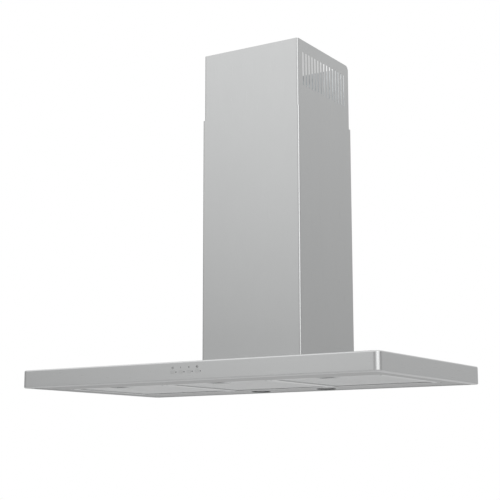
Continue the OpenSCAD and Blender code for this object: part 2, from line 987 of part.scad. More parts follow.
module control_box() color(grey_plastic) difference() {
    span([-control_w / 2, control_y0, pan_top],
        [control_w / 2, control_y1, pan_top + control_h - control_wall]);
    span([-control_w / 2 + control_wall, control_y0 + control_wall, pan_top + control_wall],
        [control_w / 2 - control_wall, control_y1 - control_wall, pan_top + control_h]);
    translate([loom_x, control_y1 - control_wall - cut, loom_z])
        rotate([-90, 0, 0])
            cylinder(r = loom_r + running, h = control_wall + 2 * cut);
}

module control_box_lid() color(grey_plastic)
    span([-control_w / 2, control_y0, pan_top + control_h - control_wall],
        [control_w / 2, control_y1, pan_top + control_h]);

module power_board() color("darkgreen") {
    inside_w = control_w - 4 * control_wall;
    inside_d = control_y1 - control_y0 - 4 * control_wall;
    mid_y = (control_y0 + control_y1) / 2;
    translate([0, mid_y, pan_top + control_wall]) {
        for (sx = [-1, 1], sy = [-1, 1])
            translate([sx * (inside_w / 2 - post_r), sy * (inside_d / 2 - post_r), 0])
                cylinder(r = post_r, h = post_l);
        upward(post_l, post_l + board_t)
            square([inside_w, inside_d], center = true);
        // transformer and two relays
        upward(post_l + board_t, control_h * 3 / 4) {
            translate([-inside_w / 3, 0])
                square([inside_w / 4, inside_d / 2], center = true);
            for (sy = [-1, 1])
                translate([inside_w / 3, sy * inside_d / 5])
                    square([inside_w / 8, inside_d / 5], center = true);
        }
    }
}

module switch_board() color("darkgreen")
    across(board_y0, board_y0 + board_t)
        translate([0, guide_z0 + guide_h / 2])
            square([guide_w, guide_h], center = true);

module button_switches() color(black_plastic)
    across(board_y0 - switch_t, board_y0)
        for (i = [0:3])
            translate([button_x(i), button_z])
                square(switch_w, center = true);

module button_guide() color(black_plastic) {
    difference() {
        across(y_front + sheet, y_front + sheet + guide_t)
            translate([0, guide_z0 + guide_h / 2])
                square([guide_w, guide_h], center = true);
        across(y_front, y_front + sheet + guide_t + cut)
            for (i = [0:3]) {
                button_outline(i, button_gap);
                led_outline(i);
            }
        across(y_front, y_front + sheet + guide_pocket)
            for (i = [0:3])
                button_outline(i, button_flange + button_gap);
    }
    across(y_front + sheet + guide_t, board_y0)
        for (sx = [-1, 1], sz = [0, 1])
            translate([sx * (guide_w / 2 - post_r), guide_z0 + post_r + sz * (guide_h - 2 * post_r)])
                circle(r = post_r);
}

module indicator_lights() color("ivory")
    across(y_front, board_y0)
        for (i = [0:3])
            led_outline(i);

module button(i) color(steel) {
    across(y_front, y_front + button_l)
        button_outline(i, 0);
    across(y_front + sheet + seat, y_front + sheet + seat + button_flange_t)
        button_outline(i, button_flange);
}

module off_button() button(0);
module low_speed_button() button(1);
module high_speed_button() button(2);
module light_button() button(3);

// Lamps

module lamp_bezel(side) color("silver")
    translate([side * lamp_spacing / 2, lamp_y, 0])
        difference() {
            union() {
                cylinder(r = lens_r + bezel_sleeve + bezel_w, h = pan_z);
                cylinder(r = lens_r + bezel_sleeve, h = bezel_h);
            }
            translate([0, 0, -cut])
                cylinder(r = lens_r, h = bezel_h + 2 * cut);
        }

module lamp_lens(side) color(white_plastic)
    translate([side * lamp_spacing / 2, lamp_y, lens_lift])
        cylinder(r = lens_r, h = lens_t);

module lamp_module(side) color(aluminium)
    translate([side * lamp_spacing / 2, lamp_y, 0]) difference() {
        union() {
            translate([0, 0, lens_lift + lens_t])
                cylinder(r = lens_r, h = bezel_h - lens_lift - lens_t);
            translate([0, 0, bezel_h])
                cylinder(r = lens_r + bezel_sleeve, h = module_h - bezel_h);
        }
        // cooling fins on top
        for (i = [0:fin_count - 1])
            translate([(i - (fin_count - 1) / 2) * 2 * lens_r / fin_count, 0, 0])
                span([-fin_t, -2 * lens_r, bezel_h + fin_t], [fin_t, 2 * lens_r, module_h + cut]);
    }

module lamp_bezel_left() lamp_bezel(-1);
module lamp_bezel_right() lamp_bezel(1);
module lamp_lens_left() lamp_lens(-1);
module lamp_lens_right() lamp_lens(1);
module lamp_module_left() lamp_module(-1);
module lamp_module_right() lamp_module(1);

// Chimney covers

// Cover in plan: three sides with bent front corners, and flanges turned in along the wall
module cover_outline(w, y0, y1) {
    difference() {
        cover_fill(w, y0, y1, cover_bend_r);
        cover_fill(w - 2 * sheet, y0 + sheet, y1 - sheet, cover_bend_r - sheet);
        area([-w / 2 + cover_flange_w, y1 - sheet - cut], [w / 2 - cover_flange_w, y1 + cut]);
    }
}

module cover_fill(w, y0, y1, r) {
    area([-w / 2, y0 + r], [w / 2, y1]);
    area([-w / 2 + r, y0], [w / 2 - r, y1]);
    for (sx = [-1, 1])
        translate([sx * (w / 2 - r), y0 + r])
            circle(r = r);
}

module lower_chimney() color(steel) difference() {
    upward(canopy_h, lower_top)
        cover_outline(chimney_w, lower_y0, y_wall);
    // the flanges clear the back plate
    upward(canopy_h - cut, box_top + plate_ear_h + plate_gap)
        area([-plate_w / 2 - plate_gap, y_wall - sheet - cut], [plate_w / 2 + plate_gap, y_wall + cut]);
}

module lower_cover_brackets() color(galvanised) difference() {
    for (side = [0, 1])
        mirror([side, 0, 0])
            translate([chimney_w / 2 - sheet, 0, 0]) {
                span([-bracket_foot, bracket_y0, canopy_h],
                    [0, bracket_y0 + bracket_l, canopy_h + bracket_t]);
                span([-bracket_t, bracket_y0, canopy_h],
                    [0, bracket_y0 + bracket_l, canopy_h + bracket_h]);
            }
    at_bracket_feet()
        screw_hole(bracket_t + cut);
}

// Two pads at the front and two on each side
module cover_glides() color(black_plastic)
    upward(lower_top - glide_drop, lower_top - glide_drop + glide_h)
        for (sx = [-1, 1]) {
            translate([sx * chimney_w / 4, lower_y0 + sheet + glide_t / 2])
                square([glide_w, glide_t], center = true);
            for (share = [1 / 4, 3 / 4])
                translate([sx * (chimney_w / 2 - sheet - glide_t / 2), lower_y0 + share * chimney_d])
                    square([glide_t, glide_w], center = true);
        }

module upper_chimney() color(steel) difference() {
    upward(upper_z0, upper_top)
        cover_outline(upper_w, upper_y0, upper_y1);
    along(-upper_w, upper_w) {
        // louvre slots, cut through both sides
        for (i = [0:slot_count - 1])
            translate([slots_y + (i - (slot_count - 1) / 2) * slot_pitch,
                upper_top - slot_drop - slot_l / 2])
                square([slot_w, slot_l], center = true);
        // clipped corners at the wall
        polygon([[upper_y1 - clip_d, upper_top], [upper_y1, upper_top - clip_h],
            [upper_y1 + cut, upper_top - clip_h], [upper_y1 + cut, upper_top + cut],
            [upper_y1 - clip_d, upper_top + cut]]);
    }
    at_strap_screws()
        screw_hole(2 * strap_t + sheet + cut);
}

// Places of the screws through the wall bracket into the upper cover's flanges
module at_strap_screws() {
    for (sx = [-1, 1])
        translate([sx * (upper_w / 2 - cover_flange_w / 2), strap_y1 - strap_t, strap_z0 + strap_w / 2])
            rotate([90, 0, 0])
                children();
}

module upper_cover_screws() color(galvanised)
    at_strap_screws() {
        cylinder(r = screw_head_r, h = screw_head_h);
        translate([0, 0, -strap_t - sheet])
            cylinder(r = screw_r, h = strap_t + sheet);
    }

module upper_wall_bracket() color(galvanised) {
    inside_w = upper_w - 2 * sheet;
    difference() {
        union() {
            span([-inside_w / 2, strap_y1 - strap_t, strap_z0],
                [inside_w / 2, strap_y1, strap_z0 + strap_w]);
            for (side = [-1, 1])
                translate([side * (inside_w / 2 - strap_t / 2), 0, 0])
                    span([-strap_t / 2, strap_y1 - strap_arm, strap_z0],
                        [strap_t / 2, strap_y1, strap_z0 + strap_w]);
            // feet that stand on the wall
            for (side = [-1, 1])
                translate([side * bracket_hole_w / 2, 0, strap_z0 + strap_w / 2])
                    span([-strap_foot_w / 2, strap_y1, -strap_foot_h / 2],
                        [strap_foot_w / 2, y_wall, strap_foot_h / 2]);
        }
        across(strap_y1 - strap_arm, y_wall + cut)
            for (side = [-1, 1])
                translate([side * bracket_hole_w / 2, strap_z0 + strap_w / 2])
                    circle(r = bracket_hole_r);
        at_strap_screws()
            screw_hole(strap_t + cut);
    }
}

// Filters

function filter_x(i) = i * (filter_w + filter_gap);

// Area of the latch's cup in a filter's plan
module cup_area(margin) {
    area([-cup_w / 2 - margin, filter_y0], [cup_w / 2 + margin, filter_y0 + cup_d + margin]);
}

module filter_outline(inset) {
    translate([0, (filter_y0 + filter_y1) / 2])
        rounded_rect(filter_w - 2 * inset, filter_d - 2 * inset,
            filter_corner_r - min(inset, filter_sheet));
}

module filter_window() {
    difference() {
        translate([0, (filter_y0 + filter_y1) / 2])
            square([filter_w - 2 * filter_rim, filter_d - 2 * filter_rim], center = true);
        cup_area(cup_wall);
    }
}

module filter_frame(i) color(aluminium) translate([filter_x(i), 0, 0]) difference() {
    union() {
        difference() {
            upward(filter_z, filter_z + filter_h)
                difference() {
                    filter_outline(0);
                    filter_window();
                }
            // channel that holds the mesh
            upward(filter_z + filter_sheet, filter_z + filter_h - filter_sheet)
                difference() {
                    filter_outline(filter_sheet);
                    cup_area(cup_wall);
                }
        }
        // tongues that rest on the pan's rear strip
        for (sx = [-1, 1])
            translate([sx * tongue_place_share * filter_w, 0, hinge_z])
                span([-tongue_w / 2, filter_y1 - filter_sheet, -tongue_t / 2],
                    [tongue_w / 2, open_y1 + tongue_reach, tongue_t / 2]);
    }
    // finger cup, open downwards
    span([-cup_w / 2 + cup_wall, filter_y0 + cup_wall, filter_z - cut],
        [cup_w / 2 - cup_wall, filter_y0 + cup_d - cup_wall, filter_z + filter_h - cup_roof]);
    // slot for the latch's bolt
    span([-bolt_w / 2 - bolt_gap, filter_y0 - cut, bolt_z0 - bolt_gap],
        [bolt_w / 2 + bolt_gap, filter_y0 + 2 * cup_wall, bolt_z0 + bolt_h + bolt_gap]);
}

// Pressed mesh pack: two interleaved grids of lozenge openings
module filter_mesh(i) color(aluminium) translate([filter_x(i), 0, 0]) {
    inset = filter_sheet + bolt_gap / 2;
    field_w = filter_w - 2 * (filter_rim + strand_w);
    field_d = filter_d - 2 * (filter_rim + strand_w);
    cell_w = field_w / mesh_cols;
    cell_d = field_d / mesh_rows;
    y_mid = (filter_y0 + filter_y1) / 2;
    upward(filter_z + filter_sheet + bolt_gap / 2, filter_z + filter_h - filter_sheet - bolt_gap / 2)
        difference() {
            filter_outline(inset);
            cup_area(cup_wall + bolt_gap);
            for (shift = [0, 1], c = [0:mesh_cols - 1 - shift], r = [0:mesh_rows - 1 - shift])
                let (x = (c + (1 + shift) / 2) * cell_w - field_w / 2,
                    y = (r + (1 + shift) / 2) * cell_d - field_d / 2 + y_mid)
                    if (clear_of_cup(x, y, cell_w, cell_d))
                        translate([x, y])
                            polygon([[-(cell_w - strand_w) / 2, 0], [0, -(cell_d - strand_w) / 2],
                                [(cell_w - strand_w) / 2, 0], [0, (cell_d - strand_w) / 2]]);
        }
}

function clear_of_cup(x, y, w, d) =
    abs(x) - w / 2 > cup_w / 2 + cup_wall || y - d / 2 > filter_y0 + cup_d + cup_wall;

// Slide with a hollow grip below and a bolt that reaches through the frame's front
module latch(i) color(black_plastic) translate([filter_x(i), filter_y0 + cup_wall + seat, 0]) {
    difference() {
        span([-latch_w / 2, 0, latch_z0], [latch_w / 2, latch_d, latch_z0 + latch_h]);
        span([-latch_w / 2 + latch_grip_wall, latch_grip_wall, latch_z0 - cut],
            [latch_w / 2 - latch_grip_wall, latch_d - latch_grip_wall, bolt_z0]);
    }
    span([-bolt_w / 2, -cup_wall - 2 * seat, bolt_z0], [bolt_w / 2, latch_grip_wall, bolt_z0 + bolt_h]);
}

module filter_frame_left() filter_frame(-1);
module filter_frame_middle() filter_frame(0);
module filter_frame_right() filter_frame(1);
module filter_mesh_left() filter_mesh(-1);
module filter_mesh_middle() filter_mesh(0);
module filter_mesh_right() filter_mesh(1);
module latch_left() latch(-1);
module latch_middle() latch(0);
module latch_right() latch(1);

canopy_shell();
underside_pan();
back_plate();
blower_box();
body_screws();
scroll_housing();
motor();
motor_bushes();
motor_bracket();
motor_lead();
capacitor();
capacitor_clip();
outlet_collar();
flap_pin();
terminal_box();
terminal_box_lid();
terminal_block();
cable_gland();
wiring_loom();
loom_grommet();
control_box();
control_box_lid();
power_board();
switch_board();
button_switches();
button_guide();
indicator_lights();
lamp_bezel_left();
lamp_bezel_right();
lamp_lens_left();
lamp_lens_right();
lamp_module_left();
lamp_module_right();
lower_chimney();
lower_cover_brackets();
cover_glides();
upper_chimney();
upper_wall_bracket();
upper_cover_screws();
impeller();
impeller_shaft();
impeller_nut();
flap_front();
flap_rear();
off_button();
low_speed_button();
high_speed_button();
light_button();
filter_frame_left();
filter_frame_middle();
filter_frame_right();
filter_mesh_left();
filter_mesh_middle();
filter_mesh_right();
latch_left();
latch_middle();
latch_right();
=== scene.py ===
"""Finishes, fine detail, light and camera for a wall-mounted chimney range hood.

The frame holds the hood's solids. This script gives each one its finish, replaces the pieces whose
real detail is finer than the solids', and sets up the light and the camera.
Lengths are in metres, in the frame's own axes: +Z up, the wall at +Y, the front face at -Y.
"""

import json
import math

import bmesh
import bpy
from bpy.props import FloatProperty, FloatVectorProperty, PointerProperty
from mathutils import Matrix, Vector


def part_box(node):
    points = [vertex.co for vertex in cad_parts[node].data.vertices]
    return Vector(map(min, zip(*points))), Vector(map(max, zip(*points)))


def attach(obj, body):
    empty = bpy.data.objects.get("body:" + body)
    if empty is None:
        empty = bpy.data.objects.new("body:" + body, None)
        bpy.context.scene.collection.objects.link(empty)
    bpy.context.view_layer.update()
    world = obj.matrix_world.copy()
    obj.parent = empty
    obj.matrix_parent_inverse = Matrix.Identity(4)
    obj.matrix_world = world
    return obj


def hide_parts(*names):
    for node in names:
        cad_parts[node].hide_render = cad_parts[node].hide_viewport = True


bl_info = {
    "name": "Range Hood",
    "version": (1, 0, 0),
    "blender": (4, 5, 0),
    "location": "3D View > Sidebar > Range Hood",
    "description": "Finishes, fine detail, light and camera for a wall-mounted range hood",
    "category": "Object",
}

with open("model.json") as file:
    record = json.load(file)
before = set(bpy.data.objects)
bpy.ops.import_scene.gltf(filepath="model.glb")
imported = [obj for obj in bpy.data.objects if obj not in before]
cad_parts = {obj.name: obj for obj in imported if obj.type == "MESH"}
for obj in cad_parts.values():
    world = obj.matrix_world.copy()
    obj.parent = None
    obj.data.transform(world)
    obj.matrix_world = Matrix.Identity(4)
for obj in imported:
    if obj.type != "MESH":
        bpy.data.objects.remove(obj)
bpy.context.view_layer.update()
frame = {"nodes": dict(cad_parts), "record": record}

MM = 0.001
WHITE = (1, 1, 1, 1)
METAL = {"Metallic": 1.0}
SIDES = ("left", "middle", "right")
SMOOTH_ANGLE = math.radians(35)
# Segments of the widest round shapes
FINE_TURN = 96
# A brushing scratch, in millimetres: 0.05 mm wide on the real sheet, and drawn wider to show at all
SCRATCH_LONG = 60
SCRATCH_W = 0.6
# Width of the seat that holds a lamp's lens in its rim
SEAT_W = 3.5 * MM
# Width of the feet along the blower box's lower edges
FOOT_W = 12 * MM


def linear(hex_colour):
    """Turns an sRGB hex colour into linear values."""
    shares = [int(hex_colour[i:i + 2], 16) / 255 for i in (1, 3, 5)]
    return tuple(c / 12.92 if c <= 0.04045 else ((c + 0.055) / 1.055) ** 2.4 for c in shares) + (1.0,)


def colour(name, description, hex_colour):
    """Declares one colour that a user may change."""
    return FloatVectorProperty(name=name, description=description, subtype="COLOR", size=4,
                               min=0, max=1, default=linear(hex_colour))


def length(name, description, default_mm, low_mm, high_mm):
    """Declares one length that a user may change."""
    return FloatProperty(name=name, description=description, unit="LENGTH", precision=5,
                         default=default_mm * MM, min=low_mm * MM, max=high_mm * MM)


def angle(name, description, degrees):
    """Declares one angle that a user may change."""
    return FloatProperty(name=name, description=description, unit="ROTATION", default=math.radians(degrees))


def number(name, description, default):
    """Declares one plain number that a user may change."""
    return FloatProperty(name=name, description=description, default=default)


class HoodSizes(bpy.types.PropertyGroup):
    """Sizes of the detail that is finer than the frame's solids"""

    strand_pitch_long: length("Long pitch", "Length of a lozenge opening of the filter mesh", 14, 8, 20)
    strand_pitch_short: length("Short pitch", "Width of a lozenge opening of the filter mesh", 7, 4, 10)
    strand_w: length("Strand", "Width of a strand of the filter mesh", 1.6, 0.8, 3)
    strand_t: length("Mesh sheet", "Thickness of the expanded sheet", 0.5, 0.3, 1)
    strand_lift: length("Strand lift", "Height by which a strand is twisted out of the sheet", 0.7, 0, 1.2)
    symbol_h: length("Symbol", "Height of the printed symbols over the buttons", 5, 2, 6)
    symbol_line: length("Symbol line", "Line width of the printed symbols", 0.75, 0.2, 1)
    symbol_gap: length("Symbol place", "Height of a symbol's middle above its button's", 9.2, 8, 12)
    print_t: length("Print", "Thickness of the printed symbols", 0.03, 0.01, 0.1)
    recess_depth: length("Lamp recess", "Depth of the lens behind the lamp's rim", 1.4, 0.5, 1.8)
    # The lamp ring's black is partly painted shade in the lamp's recess.
    ring_w: length("Lamp ring", "Width of the black ring round a lamp's lens", 1.6, 0.8, 3)
    rivet_r: length("Rivet", "Radius of the blind rivets' heads", 2.4, 1.5, 3)
    bead_w: length("Bead", "Width of the beads pressed into the sheet", 9, 5, 12)
    bead_h: length("Bead height", "Height of the beads pressed into the sheet", 1.2, 0.5, 2)


class HoodColours(bpy.types.PropertyGroup):
    """Colours of the hood's finishes"""

    stainless: colour("Stainless", "Brushed stainless sheet of the canopy", "#cfd0d0")
    # The underside's darker stainless is painted shade: a darker copy of the canopy's sheet.
    pan: colour("Underside", "Brushed stainless sheet of the underside", "#a4a5a5")
    # The covers' darker stainless is painted shade: a darker copy of the canopy's sheet.
    chimney: colour("Chimney", "Brushed stainless sheet of the covers", "#c1c2c2")
    galvanised: colour("Galvanised", "Zinc-coated sheet", "#aab0b3")
    aluminium: colour("Aluminium", "Rolled and expanded aluminium", "#e6e7e7")
    black_plastic: colour("Black plastic", "Moulded black plastic", "#1d1f21")
    # The pale grey is partly painted light, raised to lift the shade in the latches' cups.
    grey_plastic: colour("Grey plastic", "Moulded grey plastic", "#c6c9ca")
    print_ink: colour("Symbols", "Ink of the printed symbols", "#2c2e30")
    floor: colour("Floor", "Studio floor", "#e4e4e4")


class StageSettings(bpy.types.PropertyGroup):
    """Light and camera"""

    light_level: number("Sky level", "Strength of the even light", 0.8)
    lamp_level: number("Lamp level", "Radiance of the key lamp", 1.35)
    floor_drop: length("Floor", "Height of the hood above the floor", 1650, 500, 2500)
    camera_x: length("Camera X", "Camera's place to the right of the hood's middle", 1462.8, 0, 3000)
    camera_y: length("Camera Y", "Camera's place along Y, where the front is negative", -2323.3, -5000, 0)
    camera_z: length("Camera Z", "Camera's place above the hood's underside", -170.5, -1000, 1000)
    camera_turn: angle("Turn", "Turn to the left", 30.512)
    camera_tilt: angle("Tilt", "Tilt upwards", 9.963)
    camera_roll: angle("Roll", "Roll to the right", -0.403)
    camera_lens: number("Lens", "Focal length on a 36 mm sensor, in mm", 87.36)
    camera_shift: number("Shift", "Sideways shift, as a share of the frame", -0.07)


def add_node(tree, kind, settings=None, links=None):
    """Adds one node. Settings fill its fields or sockets, and links join outputs to its sockets."""
    node = tree.nodes.new(kind)
    for key, value in (settings or {}).items():
        if isinstance(key, str) and hasattr(node, key):
            setattr(node, key, value)
        else:
            node.inputs[key].default_value = value
    for key, source in (links or {}).items():
        tree.links.new(source, node.inputs[key])
    return node


def new_material(name):
    """Makes an empty node material and returns it with its tree."""
    material = bpy.data.materials.new(name)
    material.use_nodes = True
    material.node_tree.nodes.clear()
    return material, material.node_tree


def finish_material(material, settings, wear, roughness, tint=None, relief=None):
    """Ends a material in one shader whose roughness follows a noise, between two limits.

    The colour may follow a noise too. A relief, as a depth in millimetres and a strength, lets the first
    noise tilt the surface.
    """
    tree = material.node_tree
    uneven = add_node(tree, "ShaderNodeMapRange",
                      {"From Min": 0.25, "From Max": 0.75, "To Min": roughness[0], "To Max": roughness[1]},
                      {"Value": wear})
    links = {"Roughness": uneven.outputs[0]}
    if tint:
        links["Base Color"] = tint
    if relief:
        depth_mm, strength = relief
        tilt = add_node(tree, "ShaderNodeBump", {"Strength": strength, "Distance": depth_mm * MM},
                        {"Height": wear})
        links["Normal"] = tilt.outputs[0]
    shader = add_node(tree, "ShaderNodeBsdfPrincipled", settings, links)
    add_node(tree, "ShaderNodeOutputMaterial", links={"Surface": shader.outputs[0]})
    return material


def grain(tree, feature_mm):
    """Noise whose features have the given sizes along X, Y and Z, in millimetres."""
    place = add_node(tree, "ShaderNodeTexCoord")
    stretch = add_node(tree, "ShaderNodeMapping", {"Scale": tuple(1000 / size for size in feature_mm)},
                       {"Vector": place.outputs["Object"]})
    return add_node(tree, "ShaderNodeTexNoise", {"Scale": 1.0, "Detail": 2.0, "Roughness": 0.6},
                    {"Vector": stretch.outputs[0]}).outputs[0]


def shade(tree, source, base, low, high):
    """Varies a colour by noise between two shares of its brightness."""
    dark = [c * low for c in base[:3]] + [1]
    light = [min(c * high, 1) for c in base[:3]] + [1]
    return add_node(tree, "ShaderNodeMix", {"data_type": "RGBA", 6: dark, 7: light}, {0: source}).outputs[2]


def inner_side(tree, axis_y):
    """One on the faces that look towards an upright axis in the plane X = 0, and zero on the outer ones."""
    point = add_node(tree, "ShaderNodeTexCoord").outputs
    from_axis = add_node(tree, "ShaderNodeVectorMath", {"operation": "SUBTRACT", 1: (0, axis_y, 0)},
                         {0: point["Object"]})
    level = add_node(tree, "ShaderNodeVectorMath", {"operation": "MULTIPLY", 1: (1, 1, 0)},
                     {0: from_axis.outputs[0]})
    outward = add_node(tree, "ShaderNodeVectorMath", {"operation": "DOT_PRODUCT"},
                       {0: level.outputs[0], 1: point["Normal"]})
    return add_node(tree, "ShaderNodeMath", {"operation": "LESS_THAN", 1: 0.0},
                    {0: outward.outputs["Value"]}).outputs[0]


def brushed_stainless(name, base, grain_mm, mill_and_painted_light=None, axis_y=0):
    """Stainless steel sheet, brushed: long fine scratches along the sheet give it a soft, cloudy sheen.

    The side that isn't brushed keeps a paler as-rolled finish, where a colour for it is given; its paleness
    is partly painted light.
    """
    cloud_long, cloud_w = 180, 60
    material, tree = new_material(name)
    scratches = grain(tree, grain_mm)
    clouds = grain(tree, [cloud_long if size == SCRATCH_LONG else cloud_w for size in grain_mm])
    sheet = shade(tree, clouds, base, 0.985, 1.015)
    if mill_and_painted_light:
        sheet = add_node(tree, "ShaderNodeMix", {"data_type": "RGBA", 7: mill_and_painted_light},
                         {0: inner_side(tree, axis_y), 6: sheet}).outputs[2]
    return finish_material(material, METAL, scratches, (0.27, 0.36), sheet, (0.02, 0.35))


def galvanised_sheet(name, base):
    """Steel sheet dipped in zinc: crystals about 12 mm across reflect a little differently."""
    crystal_mm = 12
    material, tree = new_material(name)
    place = add_node(tree, "ShaderNodeTexCoord")
    crystals = add_node(tree, "ShaderNodeTexVoronoi", {"Scale": 1000 / crystal_mm, "Randomness": 1.0},
                        {"Vector": place.outputs["Object"]})
    level = add_node(tree, "ShaderNodeSeparateColor", links={0: crystals.outputs["Color"]}).outputs
    return finish_material(material, METAL, level[1], (0.33, 0.5), shade(tree, level[0], base, 0.86, 1.1))


def moulded_plastic(name, base, roughness):
    """Moulded plastic, rubber or thick enamel: a fine texture keeps its highlights broad and dull."""
    texture_mm, cloud_mm = 0.5, 25
    material, tree = new_material(name)
    texture = grain(tree, (texture_mm,) * 3)
    clouds = grain(tree, (cloud_mm,) * 3)
    return finish_material(material, {"IOR": 1.5}, texture, (roughness - 0.06, roughness + 0.06),
                           shade(tree, clouds, base, 0.93, 1.07), (0.03, 0.4))


def frosted_lens(name, base):
    """Frosted polycarbonate: milky white, and it scatters what little light gets in."""
    frost_mm, scatter = 0.8, 4 * MM
    material, tree = new_material(name)
    settings = {"Base Color": base, "IOR": 1.58, "Subsurface Weight": 0.3,
                "Subsurface Radius": (scatter,) * 3}
    return finish_material(material, settings, grain(tree, (frost_mm,) * 3), (0.35, 0.5))


def uneven_finish(name, base, feature_mm, shares, roughness, settings):
    """Finish whose colour and roughness follow one noise, each between two limits."""
    material, tree = new_material(name)
    noise = grain(tree, feature_mm)
    return finish_material(material, settings, noise, roughness, shade(tree, noise, base, *shares))


def rolled_aluminium(name, base, roughness):
    """Aluminium strip, rolled: a satin surface with faint lines along the strip, 1 mm apart."""
    line_long, line_w = 90, 1
    return uneven_finish(name, base, (line_long, line_w, line_w), (0.96, 1.03),
                         (roughness - 0.05, roughness + 0.05), METAL)


def smooth_metal(name, base, roughness):
    """Plated, ground or sintered metal: smooth, with a slight cloudiness that softens its highlights."""
    cloud_mm = 6
    return uneven_finish(name, base, (cloud_mm,) * 3, (0.93, 1.04),
                         (roughness - 0.04, roughness + 0.06), METAL)


def circuit_laminate(name, base):
    """Glass-fibre board under green solder resist, with a faint weave 1.5 mm apart."""
    weave_mm = 1.5
    return uneven_finish(name, base, (weave_mm,) * 3, (0.8, 1.2), (0.3, 0.42), {"IOR": 1.5})


def symbol_ink(name, base):
    """Screen-printed ink: matt and slightly uneven."""
    cover_mm = 0.6
    return uneven_finish(name, base, (cover_mm,) * 3, (0.85, 1.15), (0.55, 0.7), {"IOR": 1.45})


def make_materials(colours):
    """Makes the brushed sheets, with their grain along X or upright, and the other slots' finishes."""
    cover_low, cover_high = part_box("lower_chimney")
    sheets = (
        ("canopy", "stainless_brushed", colours.stainless, (SCRATCH_LONG, SCRATCH_LONG, SCRATCH_W)),
        # The underside takes a darker copy of the stainless, as painted shade.
        ("pan", "stainless_brushed_pan", colours.pan, (SCRATCH_LONG, SCRATCH_W, SCRATCH_W)),
        # The covers take a darker copy of the stainless, as painted shade.
        ("chimney", "stainless_brushed_chimney", colours.chimney, (SCRATCH_W, SCRATCH_W, SCRATCH_LONG),
         # The covers' pale inner side is partly their as-rolled finish and partly painted light,
         # brightening their inside.
         linear("#eeefef"), (cover_low.y + cover_high.y) / 2),
    )
    finishes = (
        (galvanised_sheet, "galvanised_sheet", colours.galvanised),
        (galvanised_sheet, "impeller_galvanised", colours.galvanised),
        (smooth_metal, "button_steel", linear("#cbcccc"), 0.3),
        (smooth_metal, "zinc_plated_screws", linear("#c0c2c0"), 0.25),
        (smooth_metal, "ground_steel", linear("#c6c8ca"), 0.18),
        (smooth_metal, "sintered_bronze", linear("#b58d4c"), 0.4),
        (smooth_metal, "lamp_bezel", linear("#b4b6b7"), 0.3),
        (rolled_aluminium, "lamp_heatsink", linear("#c4c6c8"), 0.45),
        (rolled_aluminium, "filter_frame_aluminium", colours.aluminium, 0.4),
        (rolled_aluminium, "filter_mesh_aluminium", colours.aluminium, 0.38),
        (moulded_plastic, "motor_enamel", linear("#2b2d30"), 0.35),
        (moulded_plastic, "cable_pvc", linear("#151617"), 0.42),
        (moulded_plastic, "capacitor_white", linear("#dcdcd8"), 0.35),
        (moulded_plastic, "black_plastic", colours.black_plastic, 0.45),
        (moulded_plastic, "grommet_rubber", linear("#121212"), 0.7),
        # This grey is partly painted light, raised to lift the shade in the latches' cups.
        (moulded_plastic, "grey_plastic", colours.grey_plastic, 0.5),
        (moulded_plastic, "terminal_polyamide", linear("#d8d6cc"), 0.45),
        (moulded_plastic, "indicator_clear", linear("#4a4c50"), 0.2),
        (circuit_laminate, "circuit_board", linear("#1c5a36")),
        # The lens's grey, darker than its milky white, is painted shade for the lamp's recess.
        (frosted_lens, "lamp_lens", linear("#c9cac8")),
        (symbol_ink, "print_ink", colours.print_ink),
    )
    made = {sheet: brushed_stainless(*values) for sheet, *values in sheets}
    made.update({name: finish(name, *values) for finish, name, *values in finishes})
    return made


STAINLESS_BY_NODE = {"canopy_shell": "canopy", "underside_pan": "pan", "lower_chimney": "chimney",
                     "upper_chimney": "chimney"}
materials = {}


def link_new(name, data):
    """Puts a new object in the scene."""
    made = bpy.data.objects.new(name, data)
    bpy.context.scene.collection.objects.link(made)
    return made


def new_piece(name, mesh, slot, body, replaced=None, material=None):
    """Puts a mesh in the scene as a piece that rides on a body, and may take the place of a solid."""
    piece = link_new(name, mesh)
    mesh.materials.append(materials[material or slot])
    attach(piece, body)
    if replaced:
        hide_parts(replaced)


def mesh_from(name, bm):
    """Turns a bmesh into a mesh, smooth but for its sharp edges."""
    mesh = bpy.data.meshes.new(name)
    bm.normal_update()
    bm.to_mesh(mesh)
    bm.free()
    mesh.shade_smooth()
    mesh.set_sharp_from_angle(angle=SMOOTH_ANGLE)
    return mesh


def closed_piece(name, bm, slot, body, replaced=None, material=None):
    """Turns closed solids into a piece with outward faces."""
    bmesh.ops.recalc_face_normals(bm, faces=bm.faces[:])
    new_piece(name, mesh_from(name, bm), slot, body, replaced, material)


def detailed_piece(node, ending, build, slot, body, replaces=True):
    """Builds the detail of one solid in the solid's own box, in its place or on it."""
    bm = bmesh.new()
    build(bm, *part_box(node))
    closed_piece(f"{node}_{ending}", bm, slot, body, node if replaces else None)


def turned(degrees, axis):
    """Turn about an axis."""
    return Matrix.Rotation(math.radians(degrees), 4, axis)


def foot_place(low, high):
    """Place at the middle of a box's underside."""
    return Matrix.Translation(((low.x + high.x) / 2, (low.y + high.y) / 2, low.z))


def lathe(bm, profile, place=Matrix(), segments=48):
    """Turns an outline of radii and heights round the Z axis. It is closed, or ends on the axis."""
    rings = []
    for r, z in profile:
        if r == 0:
            rings.append([bm.verts.new(place @ Vector((0, 0, z)))])
            continue
        rings.append([bm.verts.new(place @ Vector((r * math.cos(a), r * math.sin(a), z)))
                      for a in (2 * math.pi * k / segments for k in range(segments))])
    pairs = list(zip(rings, rings[1:]))
    if len(rings[0]) > 1 and len(rings[-1]) > 1:
        pairs.append((rings[-1], rings[0]))
    for low, high in pairs:
        for k in range(segments):
            n = (k + 1) % segments
            corners = [low[k % len(low)], low[n % len(low)], high[n % len(high)], high[k % len(high)]]
            bm.faces.new(list(dict.fromkeys(corners)))
    return rings


